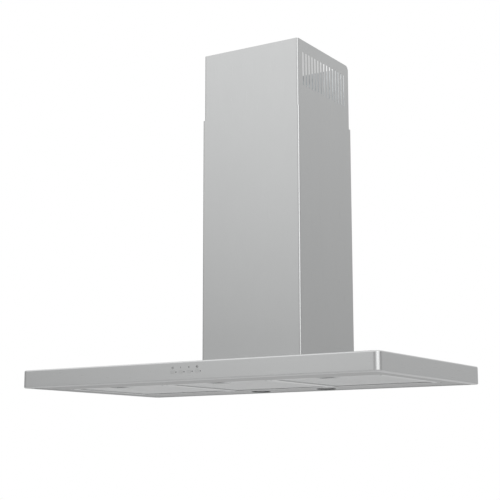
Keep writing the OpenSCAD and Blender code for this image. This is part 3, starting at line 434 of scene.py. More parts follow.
def join_rings(bm, low, high):
    """Joins two rings of as many corners by a band of faces."""
    for k in range(len(low)):
        n = (k + 1) % len(low)
        bm.faces.new((low[k], low[n], high[n], high[k]))


def block(bm, low, high, edge, place=Matrix()):
    """Adds a block between two corners, with its edges rounded off."""
    low, high = Vector(low), Vector(high)
    corners = bmesh.ops.create_cube(bm, size=1)["verts"]
    for v in corners:
        v.co = Vector([low[i] + (v.co[i] + 0.5) * (high[i] - low[i]) for i in range(3)])
    edges = list({e for v in corners for e in v.link_edges})
    made = bmesh.ops.bevel(bm, geom=edges, offset=edge, segments=2, profile=0.5, affect="EDGES")
    bmesh.ops.transform(bm, matrix=place, verts=made["verts"])


def prism(bm, outline, height, place):
    """Adds a prism over an outline in X and Y."""
    low = [bm.verts.new(place @ Vector((x, y, 0))) for x, y in outline]
    high = [bm.verts.new(place @ Vector((x, y, height))) for x, y in outline]
    bm.faces.new(low)
    bm.faces.new(high)
    join_rings(bm, low, high)


def solids_of(node):
    """The corner points of each of a node's separate solids."""
    bm = bmesh.new()
    bm.from_mesh(frame["nodes"][node].data)
    bmesh.ops.remove_doubles(bm, verts=bm.verts[:], dist=0.001 * MM)
    seen = set()
    found = []
    for first in bm.verts:
        if first in seen:
            continue
        seen.add(first)
        group = [first]
        for v in group:
            for other in (e.other_vert(v) for e in v.link_edges):
                if other not in seen:
                    seen.add(other)
                    group.append(other)
        found.append([v.co.copy() for v in group])
    bm.free()
    return found


def axis_place(points):
    """Place and whole length of a headed pin. The origin is at its head's top, and Z leaves the head."""
    low = Vector([min(p[i] for p in points) for i in range(3)])
    high = Vector([max(p[i] for p in points) for i in range(3)])
    size = high - low
    axis = min(range(3), key=lambda i: abs(size[(i + 1) % 3] - size[(i + 2) % 3]))
    middle = (low + high) / 2
    spread = {end: max((p - middle).length for p in points if abs(p[axis] - end) < 0.01 * MM)
              for end in (low[axis], high[axis])}
    head_end = max(spread, key=spread.get)
    outward = Vector((0, 0, 0))
    outward[axis] = 1 if head_end == high[axis] else -1
    origin = middle.copy()
    origin[axis] = head_end
    return Matrix.Translation(origin) @ outward.to_track_quat("Z", "Y").to_matrix().to_4x4(), size[axis]


class HOOD_OT_finishes(bpy.types.Operator):
    """Gives each solid of the frame its finish"""

    bl_idname = "hood.finishes"
    bl_label = "Finishes"

    def execute(self, context):
        materials.update(make_materials(context.scene.hood_colours))
        slots = {row["node"]: row["material_slot"] for row in frame["record"]["subparts"]}
        for name, solid in frame["nodes"].items():
            material = materials[STAINLESS_BY_NODE.get(name, slots[name])]
            solid.data.materials.clear()
            solid.data.materials.append(material)
        return {"FINISHED"}


class HOOD_OT_filter_mesh(bpy.types.Operator):
    """Lays three sheets of expanded aluminium in each filter's frame"""

    bl_idname = "hood.filter_mesh"
    bl_label = "Filter mesh"

    def execute(self, context):
        for side in SIDES:
            name, node = f"expanded_mesh_{side}", f"filter_mesh_{side}"
            bm = bmesh.new()
            expanded_pack(bm, *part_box(node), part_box(f"latch_{side}"), context.scene.hood_sizes)
            new_piece(name, mesh_from(name, bm), "filter_mesh_aluminium", f"filter_{side}", node)
        return {"FINISHED"}


def lozenge_sheet(bm, low, high, z, across_x, across_y, sizes):
    """Adds one flat sheet of lozenge openings over a rectangle, with each strand twisted."""
    middle = (low + high) / 2
    columns = math.ceil((high.x - low.x) / across_x / 2) + 1
    rows = math.ceil((high.y - low.y) / across_y / 2) + 1
    corners = {}

    def place(i, j):
        """Place of a corner, counted in half pitches."""
        return Vector((middle.x + i * across_x / 2, middle.y + j * across_y / 2, z))

    def corner(i, j):
        """The corner shared by neighbouring lozenges."""
        if (i, j) not in corners:
            corners[i, j] = bm.verts.new(place(i, j))
        return corners[i, j]

    inset = 1 - 2 * sizes.strand_w / (across_x * across_y / math.hypot(across_x, across_y))
    lifts = (0, sizes.strand_lift, 0, -sizes.strand_lift)
    for i in range(1 - 2 * columns, 2 * columns):
        for j in range(-2 * rows, 2 * rows + 1):
            if (i + j) % 2:
                continue
            outer = [corner(i + 1, j), corner(i, j + 1), corner(i - 1, j), corner(i, j - 1)]
            centre = place(i, j)
            inner = [bm.verts.new(centre + (v.co - centre) * inset + Vector((0, 0, lift)))
                     for v, lift in zip(outer, lifts)]
            join_rings(bm, outer, inner)


def cut(bm, point, normal, remove=True):
    """Cuts a sheet at a plane, and takes away what lies past it unless told not to."""
    parts = bm.verts[:] + bm.edges[:] + bm.faces[:]
    bmesh.ops.bisect_plane(bm, geom=parts, plane_co=point, plane_no=normal, clear_outer=remove)


def expanded_pack(bm, low, high, latch_box, sizes):
    """Three trimmed and thickened sheets, cut out round the latch's cup."""
    cup_margin, cup_reach = 8 * MM, 34 * MM
    cup_low, cup_high = latch_box[0].x - cup_margin, latch_box[1].x + cup_margin
    cup_back = low.y + cup_reach
    lift = sizes.strand_lift + sizes.strand_t / 2
    along_x = (sizes.strand_pitch_long, sizes.strand_pitch_short)
    along_y = along_x[::-1]
    for z, pitches in ((low.z + lift, along_x), ((low.z + high.z) / 2, along_y), (high.z - lift, along_x)):
        sheet = bmesh.new()
        lozenge_sheet(sheet, low, high, z, *pitches, sizes)
        for point, outwards in ((low, -1), (high, 1)):
            cut(sheet, point, (outwards, 0, 0))
            cut(sheet, point, (0, outwards, 0))
        for x in (cup_low, cup_high):
            cut(sheet, (x, 0, 0), (1, 0, 0), remove=False)
        cut(sheet, (0, cup_back, 0), (0, 1, 0), remove=False)
        middles = {f: f.calc_center_median() for f in sheet.faces}
        in_cup = [f for f, at in middles.items() if cup_low < at.x < cup_high and at.y < cup_back]
        bmesh.ops.delete(sheet, geom=in_cup, context="FACES")
        thicken(sheet, sizes.strand_t)
        part = bpy.data.meshes.new("sheet")
        sheet.to_mesh(part)
        sheet.free()
        bm.from_mesh(part)
        bpy.data.meshes.remove(part)


def thicken(bm, thickness):
    """Gives a flat sheet its thickness, half on each side."""
    bottom = bm.faces[:]
    for v in bm.verts:
        v.co.z -= thickness / 2
    copy = bmesh.ops.duplicate(bm, geom=bm.verts[:] + bm.edges[:] + bottom)
    twin = {a: b for a, b in copy["vert_map"].items() if isinstance(a, bmesh.types.BMVert)}
    top = [g for g in copy["geom"] if isinstance(g, bmesh.types.BMFace)]
    for v in {v for f in top for v in f.verts}:
        v.co.z += thickness
    edges = dict.fromkeys(e for f in bottom for e in f.edges)
    rims = [e.verts[:] for e in edges if len(e.link_faces) == 1]
    for a, b in rims:
        bm.faces.new((a, b, twin[b], twin[a]))
    bmesh.ops.reverse_faces(bm, faces=bottom)
    bmesh.ops.recalc_face_normals(bm, faces=bm.faces[:])


class HOOD_OT_screws(bpy.types.Operator):
    """Replaces the plain screws by pan-head ones with a cross recess and a thread"""

    bl_idname = "hood.screws"
    bl_label = "Screws"

    def execute(self, context):
        for node, body in (("body_screws", "hood"), ("upper_cover_screws", "upper_cover")):
            bm = bmesh.new()
            for points in solids_of(node):
                pan_head_screw(bm, *axis_place(points))
            closed_piece(f"{node}_threaded", bm, "zinc_plated_screws", body, node)
        return {"FINISHED"}


def pan_head_screw(bm, place, whole):
    """Screw whose head's top is at the origin, with its shank towards -Z."""
    head_r, head_h, flat_r, round_off = 3.6 * MM, 1.6 * MM, 2.3 * MM, 0.2 * MM
    shank_r, thread_depth, pitch = 2 * MM, 0.3 * MM, 1 * MM
    core_r = shank_r - thread_depth
    segments, crown_steps = 20, 4
    thread = []
    for i in range(int((whole - head_h) / pitch)):
        z = -head_h - i * pitch
        thread += [(core_r, z - 0.5 * pitch), (shank_r, z - 0.75 * pitch)]
    shank = [(0, -whole), (core_r, -whole)] + thread[::-1]
    rim = [(head_r - round_off, -head_h), (head_r, -head_h + round_off)]
    crown = [(flat_r + (head_r - flat_r) * math.cos(a), head_h / 2 * (math.sin(a) - 1))
             for a in (math.pi / 2 * i / crown_steps for i in range(crown_steps + 1))]
    rings = lathe(bm, shank + rim + crown, place, segments)
    cross_recess(bm, rings[-1], place)


def cross_recess(bm, rim, place):
    """Closes a screw's head with a flat that has a cross let into it."""
    arm, half_w, depth, taper = 1.7 * MM, 0.45 * MM, 0.9 * MM, 0.6
    outline = []
    for quarter in range(4):
        turn = Matrix.Rotation(quarter * math.pi / 2, 2)
        outline += [turn @ Vector(corner) for corner in ((arm, -half_w), (arm, half_w), (half_w, half_w))]
    top = [bm.verts.new(place @ Vector((x, y, 0))) for x, y in outline]
    floor = [bm.verts.new(place @ Vector((x * taper, y * taper, -depth))) for x, y in outline]
    rim_edges = [bm.edges.get((rim[k], rim[(k + 1) % len(rim)])) for k in range(len(rim))]
    top_edges = [bm.edges.new((top[k], top[(k + 1) % len(top)])) for k in range(len(top))]
    bmesh.ops.triangle_fill(bm, edges=rim_edges + top_edges, use_beauty=True)
    join_rings(bm, top, floor)
    bm.faces.new(floor)


class HOOD_OT_latches(bpy.types.Operator):
    """Replaces each latch by one with a finger rail, ribs and rounded edges"""

    bl_idname = "hood.latches"
    bl_label = "Latches"

    def execute(self, context):
        for side in SIDES:
            detailed_piece(f"latch_{side}", "moulded", latch, "grey_plastic", f"latch_slide_{side}")
        return {"FINISHED"}


def latch(bm, low, high):
    """Slide with side walls, a rear finger rail and ribs between them, over a bolt."""
    bolt_reach, bolt_half, bolt_lift, bolt_t = 2.1 * MM, 8 * MM, 1.6 * MM, 2 * MM
    wall, edge, rib_t, rib_count = 2 * MM, 0.4 * MM, 0.8 * MM, 9
    front, roof, top = low.y + bolt_reach, low.z + bolt_lift, high.z - edge
    middle = (low.x + high.x) / 2
    block(bm, (low.x, front, roof), high, edge)
    block(bm, (middle - bolt_half, low.y, roof), (middle + bolt_half, front + wall, roof + bolt_t), edge)
    for y in (front, high.y - wall):
        block(bm, (low.x, y, low.z), (high.x, y + wall, top), edge)
    for x in (low.x, high.x - wall):
        block(bm, (x, front, low.z), (x + wall, high.y, top), edge)
    for i in range(rib_count):
        x = low.x + wall + (high.x - low.x - 2 * wall) * (i + 0.5) / rib_count
        block(bm, (x - rib_t / 2, front + wall / 2, low.z + wall / 2),
              (x + rib_t / 2, high.y - wall / 2, top), edge / 2)


class HOOD_OT_lamps(bpy.types.Operator):
    """Gives each lamp a flat rim, a black ring round its recess, whose black is partly painted shade, and a
    ribbed lens behind the ring
    """

    bl_idname = "hood.lamps"
    bl_label = "Lamps"

    def execute(self, context):
        sizes = context.scene.hood_sizes
        for side in ("left", "right"):
            bezel, lens = f"lamp_bezel_{side}", f"lamp_lens_{side}"
            bezel_low, bezel_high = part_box(bezel)
            lens_low, lens_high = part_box(lens)
            middle = (bezel_low + bezel_high) / 2
            outer_r = (bezel_high.x - bezel_low.x) / 2
            lens_r = (lens_high.x - lens_low.x) / 2
            lens_z = lens_low.z + sizes.recess_depth
            rim = bezel_outline(outer_r, lens_r, bezel_high.z, lens_high.z, sizes.recess_depth)
            ribbed = lens_outline(lens_r, lens_z, lens_high.z)
            ring = shade_ring_section(lens_r, lens_z, sizes.ring_w)
            pieces = ((f"{bezel}_rim", rim, "lamp_bezel", bezel),
                      (f"{lens}_ribbed", ribbed, "lamp_lens", lens),
                      # The ring's black plastic is partly painted shade for the lamp's recess.
                      (f"lamp_ring_and_painted_shade_{side}", ring, "black_plastic", None))
            for name, outline, slot, replaced in pieces:
                bm = bmesh.new()
                lathe(bm, outline, Matrix.Translation((middle.x, middle.y, 0)), FINE_TURN)
                closed_piece(name, bm, slot, "hood", replaced)
        return {"FINISHED"}


def bezel_outline(outer_r, lens_r, top_z, lens_top, depth):
    """Section of a lamp's rim: a flange that ends thin on the sheet, a seat for the lens and a sleeve."""
    flange_t, lip, sleeve, seat_t = 1 * MM, 0.3 * MM, 2 * MM, 0.2 * MM
    bevel_w, edge_w = 1.5 * MM, 0.4 * MM
    seat_r, sleeve_r, face_z = lens_r - SEAT_W, lens_r + sleeve, flange_t - lip
    return [(seat_r, lens_top - seat_t), (seat_r, depth), (seat_r, face_z), (outer_r - bevel_w, face_z),
            (outer_r - edge_w, flange_t - 0.5 * lip), (outer_r, flange_t), (sleeve_r, flange_t),
            (sleeve_r, top_z), (lens_r, top_z), (lens_r, lens_top), (seat_r, lens_top)]


def shade_ring_section(lens_r, lens_low, width):
    """Section of the black ring that stands on a lamp's rim and lines the way up to its lens; its black is
    partly painted shade.
    """
    liner, round_off, foot_z = 0.4 * MM, 0.2 * MM, 0.7 * MM
    seat_r = lens_r - SEAT_W
    inner_r, outer_r = seat_r - liner, seat_r + width
    return [(inner_r, lens_low), (inner_r, round_off), (inner_r + round_off, 0), (outer_r - round_off, 0),
            (outer_r, round_off), (outer_r, foot_z), (seat_r, foot_z), (seat_r, lens_low)]


def lens_outline(lens_r, low_z, high_z):
    """Section of a lens with ring ribs on its lower face."""
    rib_pitch, rib_h, rim_gap = 1.6 * MM, 0.12 * MM, 0.05 * MM
    edge_r = lens_r - SEAT_W - rim_gap
    ribs = [(i * rib_pitch / 2, low_z + rib_h * (i % 2)) for i in range(1, 2 * int(edge_r / rib_pitch))]
    return [(0, low_z)] + ribs + [(edge_r, low_z + rib_h), (edge_r, high_z), (0, high_z)]


class HOOD_OT_symbols(bpy.types.Operator):
    """Prints a plain symbol over each button"""

    bl_idname = "hood.symbols"
    bl_label = "Symbols"

    def execute(self, context):
        sizes = context.scene.hood_sizes
        drawings = {"off_button": off_symbol, "low_speed_button": low_symbol,
                    "high_speed_button": high_symbol, "light_button": light_symbol}
        for node, draw in drawings.items():
            low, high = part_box(node)
            middle = (low + high) / 2
            place = Matrix.Translation((middle.x, low.y, middle.z + sizes.symbol_gap)) @ turned(90, "X")
            bm = bmesh.new()
            for outline, degrees in draw(sizes.symbol_h, sizes.symbol_line):
                prism(bm, outline, sizes.print_t, place @ turned(degrees, "Z"))
            closed_piece(f"{node}_symbol", bm, "black_plastic", "hood", material="print_ink")
        return {"FINISHED"}


def arc(r, start, sweep, steps):
    """Points along an arc, from one angle over another, in degrees."""
    angles = [math.radians(start + sweep * i / steps) for i in range(steps + 1)]
    return [(r * math.cos(a), r * math.sin(a)) for a in angles]


def bar(x, y, w, h):
    """Outline of an upright printed bar."""
    return [(x - w / 2, y - h / 2), (x + w / 2, y - h / 2), (x + w / 2, y + h / 2), (x - w / 2, y + h / 2)]


def off_symbol(height, line):
    """An open ring with a short bar."""
    r = 0.4 * height
    start, sweep, steps = 120, 300, 24
    ring = arc(r + line / 2, start, sweep, steps) + arc(r - line / 2, start, sweep, steps)[::-1]
    return [(ring, 0), (bar(0, 0.7 * r, line, r), 0)]


def low_symbol(height, line):
    """One bar for the low speed."""
    return [(bar(0, 0, line, 0.7 * height), 0)]


def high_symbol(height, line):
    """Two bars for the high speed."""
    return [(bar(x, 0, line, 0.7 * height), 0) for x in (-line, line)]


def light_symbol(height, line):
    """A lamp: a disc with eight rays."""
    r, rays, corners = 0.3 * height, 8, 24
    disc = arc(r, 0, 360, corners)[:-1]
    return [(disc, 0)] + [(bar(0, 1.85 * r, line, 0.8 * r), 360 * k / rays) for k in range(rays)]


class HOOD_OT_rivets(bpy.types.Operator):
    """Sets blind rivets in the filter frames' corners and along the blower box's seams"""

    bl_idname = "hood.rivets"
    bl_label = "Rivets"

    def execute(self, context):
        rivet_r = context.scene.hood_sizes.rivet_r
        rim_middle, filter_head, box_head = 6 * MM, 0.7 * MM, 1 * MM
        for side in SIDES:
            low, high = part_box(f"filter_frame_{side}")
            mesh_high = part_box(f"filter_mesh_{side}")[1]
            places = [Matrix.Translation((x, y, low.z)) @ turned(180, "X")
                      for x in (low.x + rim_middle, high.x - rim_middle)
                      for y in (low.y + rim_middle, mesh_high.y - rim_middle)]
            rivets(f"filter_rivets_{side}", rivet_r, filter_head, places, "filter_frame_aluminium",
                   f"filter_{side}")
        low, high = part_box("blower_box")
        seam_gap, rows = 10 * MM, 5
        wall, seam = high.x - FOOT_W, low.y + FOOT_W + seam_gap
        heights = [low.z + (high.z - low.z) * (i + 0.5) / rows for i in range(rows)]
        places = [Matrix.Translation((side * wall, seam, z)) @ turned(side * 90, "Y")
                  for side in (-1, 1) for z in heights]
        rivets("blower_box_rivets", rivet_r, box_head, places, "galvanised_sheet", "hood")
        return {"FINISHED"}


def rivets(name, r, height, places, slot, body):
    """One piece of like rivet heads, each with the dimple that its pin leaves."""
    sunk, segments = 0.2 * MM, 24
    bm = bmesh.new()
    for place in places:
        lathe(bm, [(0, -sunk), (r * 0.6, -sunk), (r, 0), (r * 0.95, height * 0.45), (r * 0.7, height * 0.9),
                   (r * 0.4, height), (r * 0.34, height * 0.7), (0, height * 0.6)], place, segments)
    closed_piece(name, bm, slot, body, material="lamp_heatsink")


class HOOD_OT_outlet(bpy.types.Operator):
    """Gives the outlet collar its beads and the flaps their ribs"""

    bl_idname = "hood.outlet"
    bl_label = "Outlet"

    def execute(self, context):
        low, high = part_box("outlet_collar")
        middle = (low + high) / 2
        collar_r, wall, bead = 74.5 * MM, 2.5 * MM, 0.4 * MM
        bead_drops = (6 * MM, 12 * MM)
        bm = bmesh.new()
        for drop in bead_drops:
            lathe(bm, [(collar_r - bead, -bead), (collar_r, -2 * bead), (collar_r + bead, -bead),
                       (collar_r + bead, bead), (collar_r, 2 * bead), (collar_r - bead, bead)],
                  Matrix.Translation((middle.x, middle.y, high.z - drop)), FINE_TURN)
        closed_piece("outlet_collar_beads", bm, "black_plastic", "hood")
        knuckle_r, flap_t = 3 * MM, 1.5 * MM
        lower_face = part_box("flap_rear")[1].z - knuckle_r - flap_t
        for side, degrees in (("rear", 90), ("front", -90)):
            bm = bmesh.new()
            flap_ribs(bm, Vector((middle.x, middle.y, lower_face)), degrees, collar_r - wall)
            closed_piece(f"flap_{side}_ribs", bm, "black_plastic", f"{side}_flap")
        return {"FINISHED"}


def flap_ribs(bm, centre, facing, bore_r):
    """Low ribs that fan out over a half disc's lower face, clear of the ledge that the flap rests on."""
    start, ledge_gap = 9 * MM, 6 * MM
    rib_w, rib_h, sunk, edge = 1.4 * MM, 1.2 * MM, 0.2 * MM, 0.3 * MM
    for degrees in (-60, -30, 0, 30, 60):
        block(bm, (start, -rib_w / 2, -rib_h), (bore_r - ledge_gap, rib_w / 2, sunk), edge,
              Matrix.Translation(centre) @ turned(facing + degrees, "Z"))


class HOOD_OT_box_beads(bpy.types.Operator):
    """Presses upright stiffening beads into the blower box's sides"""

    bl_idname = "hood.box_beads"
    bl_label = "Blower box beads"

    def execute(self, context):
        low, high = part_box("blower_box")
        middle_z, end_gap = (low.z + high.z) / 2, 40 * MM
        bead_shares = (0.35, 0.62)
        bm = bmesh.new()
        for side in (-1, 1):
            for share in bead_shares:
                wall = Vector((side * (high.x - FOOT_W), low.y + share * (high.y - low.y), middle_z))
                pressed_bead(bm, Matrix.Translation(wall) @ turned(side * 90, "Y"),
                             high.z - low.z - 2 * end_gap, context.scene.hood_sizes)
        closed_piece("blower_box_beads", bm, "galvanised_sheet", "hood")
        return {"FINISHED"}


def pressed_bead(bm, place, whole, sizes):
    """Long low ridge with round ends, along the place's X axis, rising towards its Z axis."""
    steps, sunk = 8, 0.1 * MM
    half_w, h = sizes.bead_w / 2, sizes.bead_h
    rings = []
    for share, z in ((1.0, -sunk), (1.0, 0.0), (0.92, 0.45 * h), (0.7, 0.85 * h), (0.4, h)):
        r = half_w * share
        ring = []
        for end in (1, -1):
            for k in range(steps + 1):
                a = math.pi * (k / steps - end / 2)
                ring.append(bm.verts.new(place @ Vector((end * (whole / 2 - half_w) + r * math.cos(a),
                                                         r * math.sin(a), z))))
        rings.append(ring)
    for below, above in zip(rings, rings[1:]):
        join_rings(bm, below, above)
    bm.faces.new(rings[0])
    bm.faces.new(rings[-1])


class HOOD_OT_electrical(bpy.types.Operator):
    """Details the capacitor, the cable gland and the terminal box's lid"""

    bl_idname = "hood.electrical"
    bl_label = "Electrical pieces"

    def execute(self, context):
        detailed_piece("capacitor", "can", capacitor, "capacitor_white", "hood")
        detailed_piece("cable_gland", "fluted", gland, "black_plastic", "hood")
        detailed_piece("terminal_box_lid", "rim", lid_rim, "grey_plastic", "hood", replaces=False)
        return {"FINISHED"}


def capacitor(bm, low, high):
    """Moulded can with a rolled foot, a crimp and two blade terminals set in its top."""
    foot_r, rim_r, rim_w, crimp, well = 1.5 * MM, 0.8 * MM, 2 * MM, 0.6 * MM, 6 * MM
    blade_x, blade_half_t, blade_half_w, blade_edge = 5 * MM, 0.4 * MM, 3.1 * MM, 0.15 * MM
    blade_root, blade_drop, segments = 1 * MM, 0.4 * MM, 64
    r, whole = (high.x - low.x) / 2, high.z - low.z
    place = foot_place(low, high)
    lathe(bm, [(0, 0), (r - foot_r, 0), (r, foot_r), (r, 0.78 * whole), (r - crimp, 0.79 * whole),
               (r - crimp, 0.81 * whole), (r, 0.82 * whole), (r, whole - rim_r), (r - rim_r, whole),
               (r - rim_w, whole), (r - rim_w, whole - well), (0, whole - well)], place, segments)
    for x in (-blade_x, blade_x):
        block(bm, (x - blade_half_t, -blade_half_w, whole - well - blade_root),
              (x + blade_half_t, blade_half_w, whole - blade_drop), blade_edge, place)


def gland(bm, low, high):
    """Cable gland: a threaded body, a hexagon, and a domed nut with twelve flutes round an open bore."""
    bore_r, body_r, hex_r, overlap = 4.5 * MM, 6.5 * MM, 9 * MM, 0.2 * MM
    foot, nut_h, pitch, depth = 2 * MM, 6 * MM, 1.5 * MM, 0.4 * MM
    end_bevel, hex_bevel, nut_inset, nut_swell, nut_lip = 1.5 * MM, 0.5 * MM, 0.6 * MM, 0.4 * MM, 0.6 * MM
    flutes, flute_in, flute_out, flute_half = 12, 1 * MM, 0.1 * MM, 0.8 * MM
    flute_lift, flute_edge = 0.4 * MM, 0.2 * MM
    whole = high.z - low.z
    place = foot_place(low, high)
    core_r, hex_top, top = body_r - overlap, foot + nut_h, whole - 2 * nut_h
    thread = []
    z = hex_top
    while z + pitch < top:
        thread += [(body_r, z), (body_r - depth, z + pitch / 2)]
        z += pitch
    end = [(body_r, top), (body_r, whole - end_bevel), (body_r - end_bevel, whole), (bore_r, whole)]
    lathe(bm, [(bore_r, 0), (body_r, 0), (body_r, hex_top)] + thread + end, place)
    lathe(bm, [(core_r, foot), (hex_r, foot + hex_bevel), (hex_r, hex_top - hex_bevel), (core_r, hex_top)],
          place, 6)
    lathe(bm, [(core_r, top), (hex_r - nut_inset, top), (hex_r - nut_swell, top + 0.7 * nut_h),
               (body_r + nut_lip, top + nut_h), (core_r, top + nut_h)], place)
    for k in range(flutes):
        block(bm, (hex_r - flute_in, -flute_half, top + flute_lift),
              (hex_r - flute_out, flute_half, top + 0.75 * nut_h), flute_edge,
              place @ turned(360 * k / flutes, "Z"))


def lid_rim(bm, low, high):
    """Raised rim round a lid's face."""
    rim_w, rise, sunk, inset, edge = 2 * MM, 1 * MM, 0.5 * MM, 3 * MM, 0.3 * MM
    near, far = low.y - rise, low.y + sunk
    for x in (low.x + inset, high.x - inset - rim_w):
        block(bm, (x, near, low.z + inset), (x + rim_w, far, high.z - inset), edge)
    for z in (low.z + inset, high.z - inset - rim_w):
        block(bm, (low.x + inset, near, z), (high.x - inset, far, z + rim_w), edge)


class HOOD_OT_motor(bpy.types.Operator):
    """Replaces the plain motor by one with end bells, laminations and through-bolts"""

    bl_idname = "hood.motor"
    bl_label = "Motor"

    def execute(self, context):
        detailed_piece("motor", "wound", motor, "motor_enamel", "hood")
        return {"FINISHED"}


def motor(bm, low, high):
    """Motor along X: two end bells round a stack of laminations, with a bore for its shaft."""
    nose, boss_r, bore_r, boss_bevel = 6 * MM, 16 * MM, 8.2 * MM, 2 * MM
    bell_drop, shoulder, shoulder_low, bell_low, bell_high = 1 * MM, 5 * MM, 3 * MM, 7 * MM, 4 * MM
    stack_from, stack_to, groove, lamination = 0.3, 0.68, 0.35 * MM, 1.2 * MM
    bolt_inset, bolt_r, bolt_top_r = 7 * MM, 3.2 * MM, 2.6 * MM
    bolt_sunk, bolt_side, bolt_h, bolts, segments = 2 * MM, 1.4 * MM, 2 * MM, 4, 64
    middle = (low + high) / 2
    place = Matrix.Translation((low.x, middle.y, middle.z)) @ turned(90, "Y")
    r, whole = (high.y - low.y) / 2, high.x - low.x
    bell_r, body = r - bell_drop, whole - nose
    outline = [(bore_r, 0), (boss_r, 0), (boss_r + boss_bevel, boss_bevel), (r - shoulder, shoulder_low),
               (bell_r, bell_low), (bell_r, stack_from * body)]
    x = stack_from * body
    while x + lamination < stack_to * body:
        outline += [(r, x), (r, x + 0.7 * lamination), (r - groove, x + 0.75 * lamination),
                    (r - groove, x + 0.95 * lamination)]
        x += lamination
    outline += [(bell_r, x), (bell_r, body - bell_high), (r - shoulder, body), (boss_r, body),
                (boss_r, whole), (bore_r, whole)]
    lathe(bm, outline, place, segments)
    bolt = [(0, -bolt_sunk), (bolt_r, -bolt_sunk), (bolt_r, bolt_side), (bolt_top_r, bolt_h), (0, bolt_h)]
    for k in range(bolts):
        turn = place @ turned(360 * (k + 0.5) / bolts, "Z")
        lathe(bm, bolt, turn @ Matrix.Translation((r - bolt_inset, 0, body)), 6)


class HOOD_OT_stage(bpy.types.Operator):
    """Sets up the floor, the light and the camera"""

    bl_idname = "hood.stage"
    bl_label = "Stage"

    def execute(self, context):
        settings = context.scene.hood_stage
        make_camera(settings)
        make_world(settings)
        make_floor(settings, context.scene.hood_colours.floor)
        make_tent()
        make_key_lamp(settings)
        context.scene.view_settings.view_transform = "Standard"
        return {"FINISHED"}


def make_camera(settings):
    """Places the camera where the photograph was taken from."""
    data = bpy.data.cameras.new("camera")
    data.sensor_width = 36
    data.lens = settings.camera_lens
    data.shift_x = settings.camera_shift
    camera = link_new("camera", data)
    turn = Matrix.Rotation(settings.camera_turn, 4, "Z")
    tilt = Matrix.Rotation(math.pi / 2 + settings.camera_tilt, 4, "X")
    roll = Matrix.Rotation(settings.camera_roll, 4, "Z")
    place = Matrix.Translation((settings.camera_x, settings.camera_y, settings.camera_z))
    camera.matrix_world = place @ turn @ tilt @ roll
    bpy.context.scene.camera = camera


def seen_directly(tree):
    """One where a ray comes from the camera, a reflection or a clear piece, and zero elsewhere."""
    path = add_node(tree, "ShaderNodeLightPath")
    first = add_node(tree, "ShaderNodeMath", {"operation": "MAXIMUM"},
                     {0: path.outputs["Is Camera Ray"], 1: path.outputs["Is Glossy Ray"]})
    return add_node(tree, "ShaderNodeMath", {"operation": "MAXIMUM"},
                    {0: first.outputs[0], 1: path.outputs["Is Transmission Ray"]}).outputs[0]


def make_world(settings):
    """Even light from all round, and a white background."""
    world = bpy.data.worlds.new("studio")
    world.use_nodes = True
    tree = world.node_tree
    tree.nodes.clear()
    light = add_node(tree, "ShaderNodeBackground", {"Color": WHITE, "Strength": settings.light_level})
    white = add_node(tree, "ShaderNodeBackground", {"Color": WHITE, "Strength": 1.0})
    mix = add_node(tree, "ShaderNodeMixShader",
                   links={0: seen_directly(tree), 1: light.outputs[0], 2: white.outputs[0]})
    add_node(tree, "ShaderNodeOutputWorld", links={"Surface": mix.outputs[0]})
    bpy.context.scene.world = world


def stage_object(name, bm, material):
    """Puts a mesh in the scene that isn't part of the hood."""
    mesh = bpy.data.meshes.new(name)
    bm.normal_update()
    bm.to_mesh(mesh)
    bm.free()
    mesh.materials.append(material)
    made = link_new(name, mesh)
    return made


def make_floor(settings, paint_colour):
    """A round pale floor under the hood, which fades into the white background."""
    floor_r, fade_from, fade_to = 30, 2.5, 9
    cloud_mm = 400
    material, tree = new_material("floor_paint")
    clouds = grain(tree, (cloud_mm,) * 3)
    paint = add_node(tree, "ShaderNodeBsdfPrincipled", {"Roughness": 0.8, "Specular IOR Level": 0.2},
                     {"Base Color": shade(tree, clouds, paint_colour, 0.99, 1.01)})
    white = add_node(tree, "ShaderNodeEmission", {"Color": WHITE, "Strength": 1.0})
    place = add_node(tree, "ShaderNodeTexCoord")
    distance = add_node(tree, "ShaderNodeVectorMath", {"operation": "LENGTH"}, {0: place.outputs["Object"]})
    fade = add_node(tree, "ShaderNodeMapRange",
                    {"interpolation_type": "SMOOTHSTEP", "From Min": fade_from, "From Max": fade_to},
                    {"Value": distance.outputs["Value"]})
    seen = add_node(tree, "ShaderNodeMath", {"operation": "MULTIPLY"},
                    {0: fade.outputs[0], 1: seen_directly(tree)})
    mix = add_node(tree, "ShaderNodeMixShader",
                   links={0: seen.outputs[0], 1: paint.outputs[0], 2: white.outputs[0]})
    add_node(tree, "ShaderNodeOutputMaterial", links={"Surface": mix.outputs[0]})
    bm = bmesh.new()
    bmesh.ops.create_circle(bm, cap_ends=True, segments=FINE_TURN, radius=floor_r)
    stage_object("floor", bm, material).location.z = -settings.floor_drop


# Tent panels: degrees to the right of straight ahead, radiance at the horizon, and its rise for each degree
TENT_PANELS = (
    (-180, 0.66, 0.010),
    (-148, 0.66, 0.012),
    (-120, 0.50, 0.012),
    (-95, 0.30, 0.012),
    (-62, 0.36, 0.020),
    (-42, 0.46, 0.026),
    (-30, 0.64, 0.028),
    (-21, 0.74, 0.028),
    (-14, 0.38, 0.022),
    (24, 0.36, 0.022),
    (32, 1.15, 0.010),
    (84, 1.15, 0.010),
    (92, 0.30, 0.012),
    (125, 0.42, 0.010),
    (148, 0.58, 0.010),
    (160, 0.54, 0.010),
    (180, 0.66, 0.010),
)
TENT_TOP = 1.3
TENT_BOTTOM = 0.3
# Overhead the cloth is even: it starts to change at one height and is all alike above the other, in degrees
TENT_OVERHEAD = 0.98
TENT_BEND = 42
TENT_EVEN = 58


def limited(value, low, high):
    """The value, kept between two limits."""
    return min(max(value, low), high)


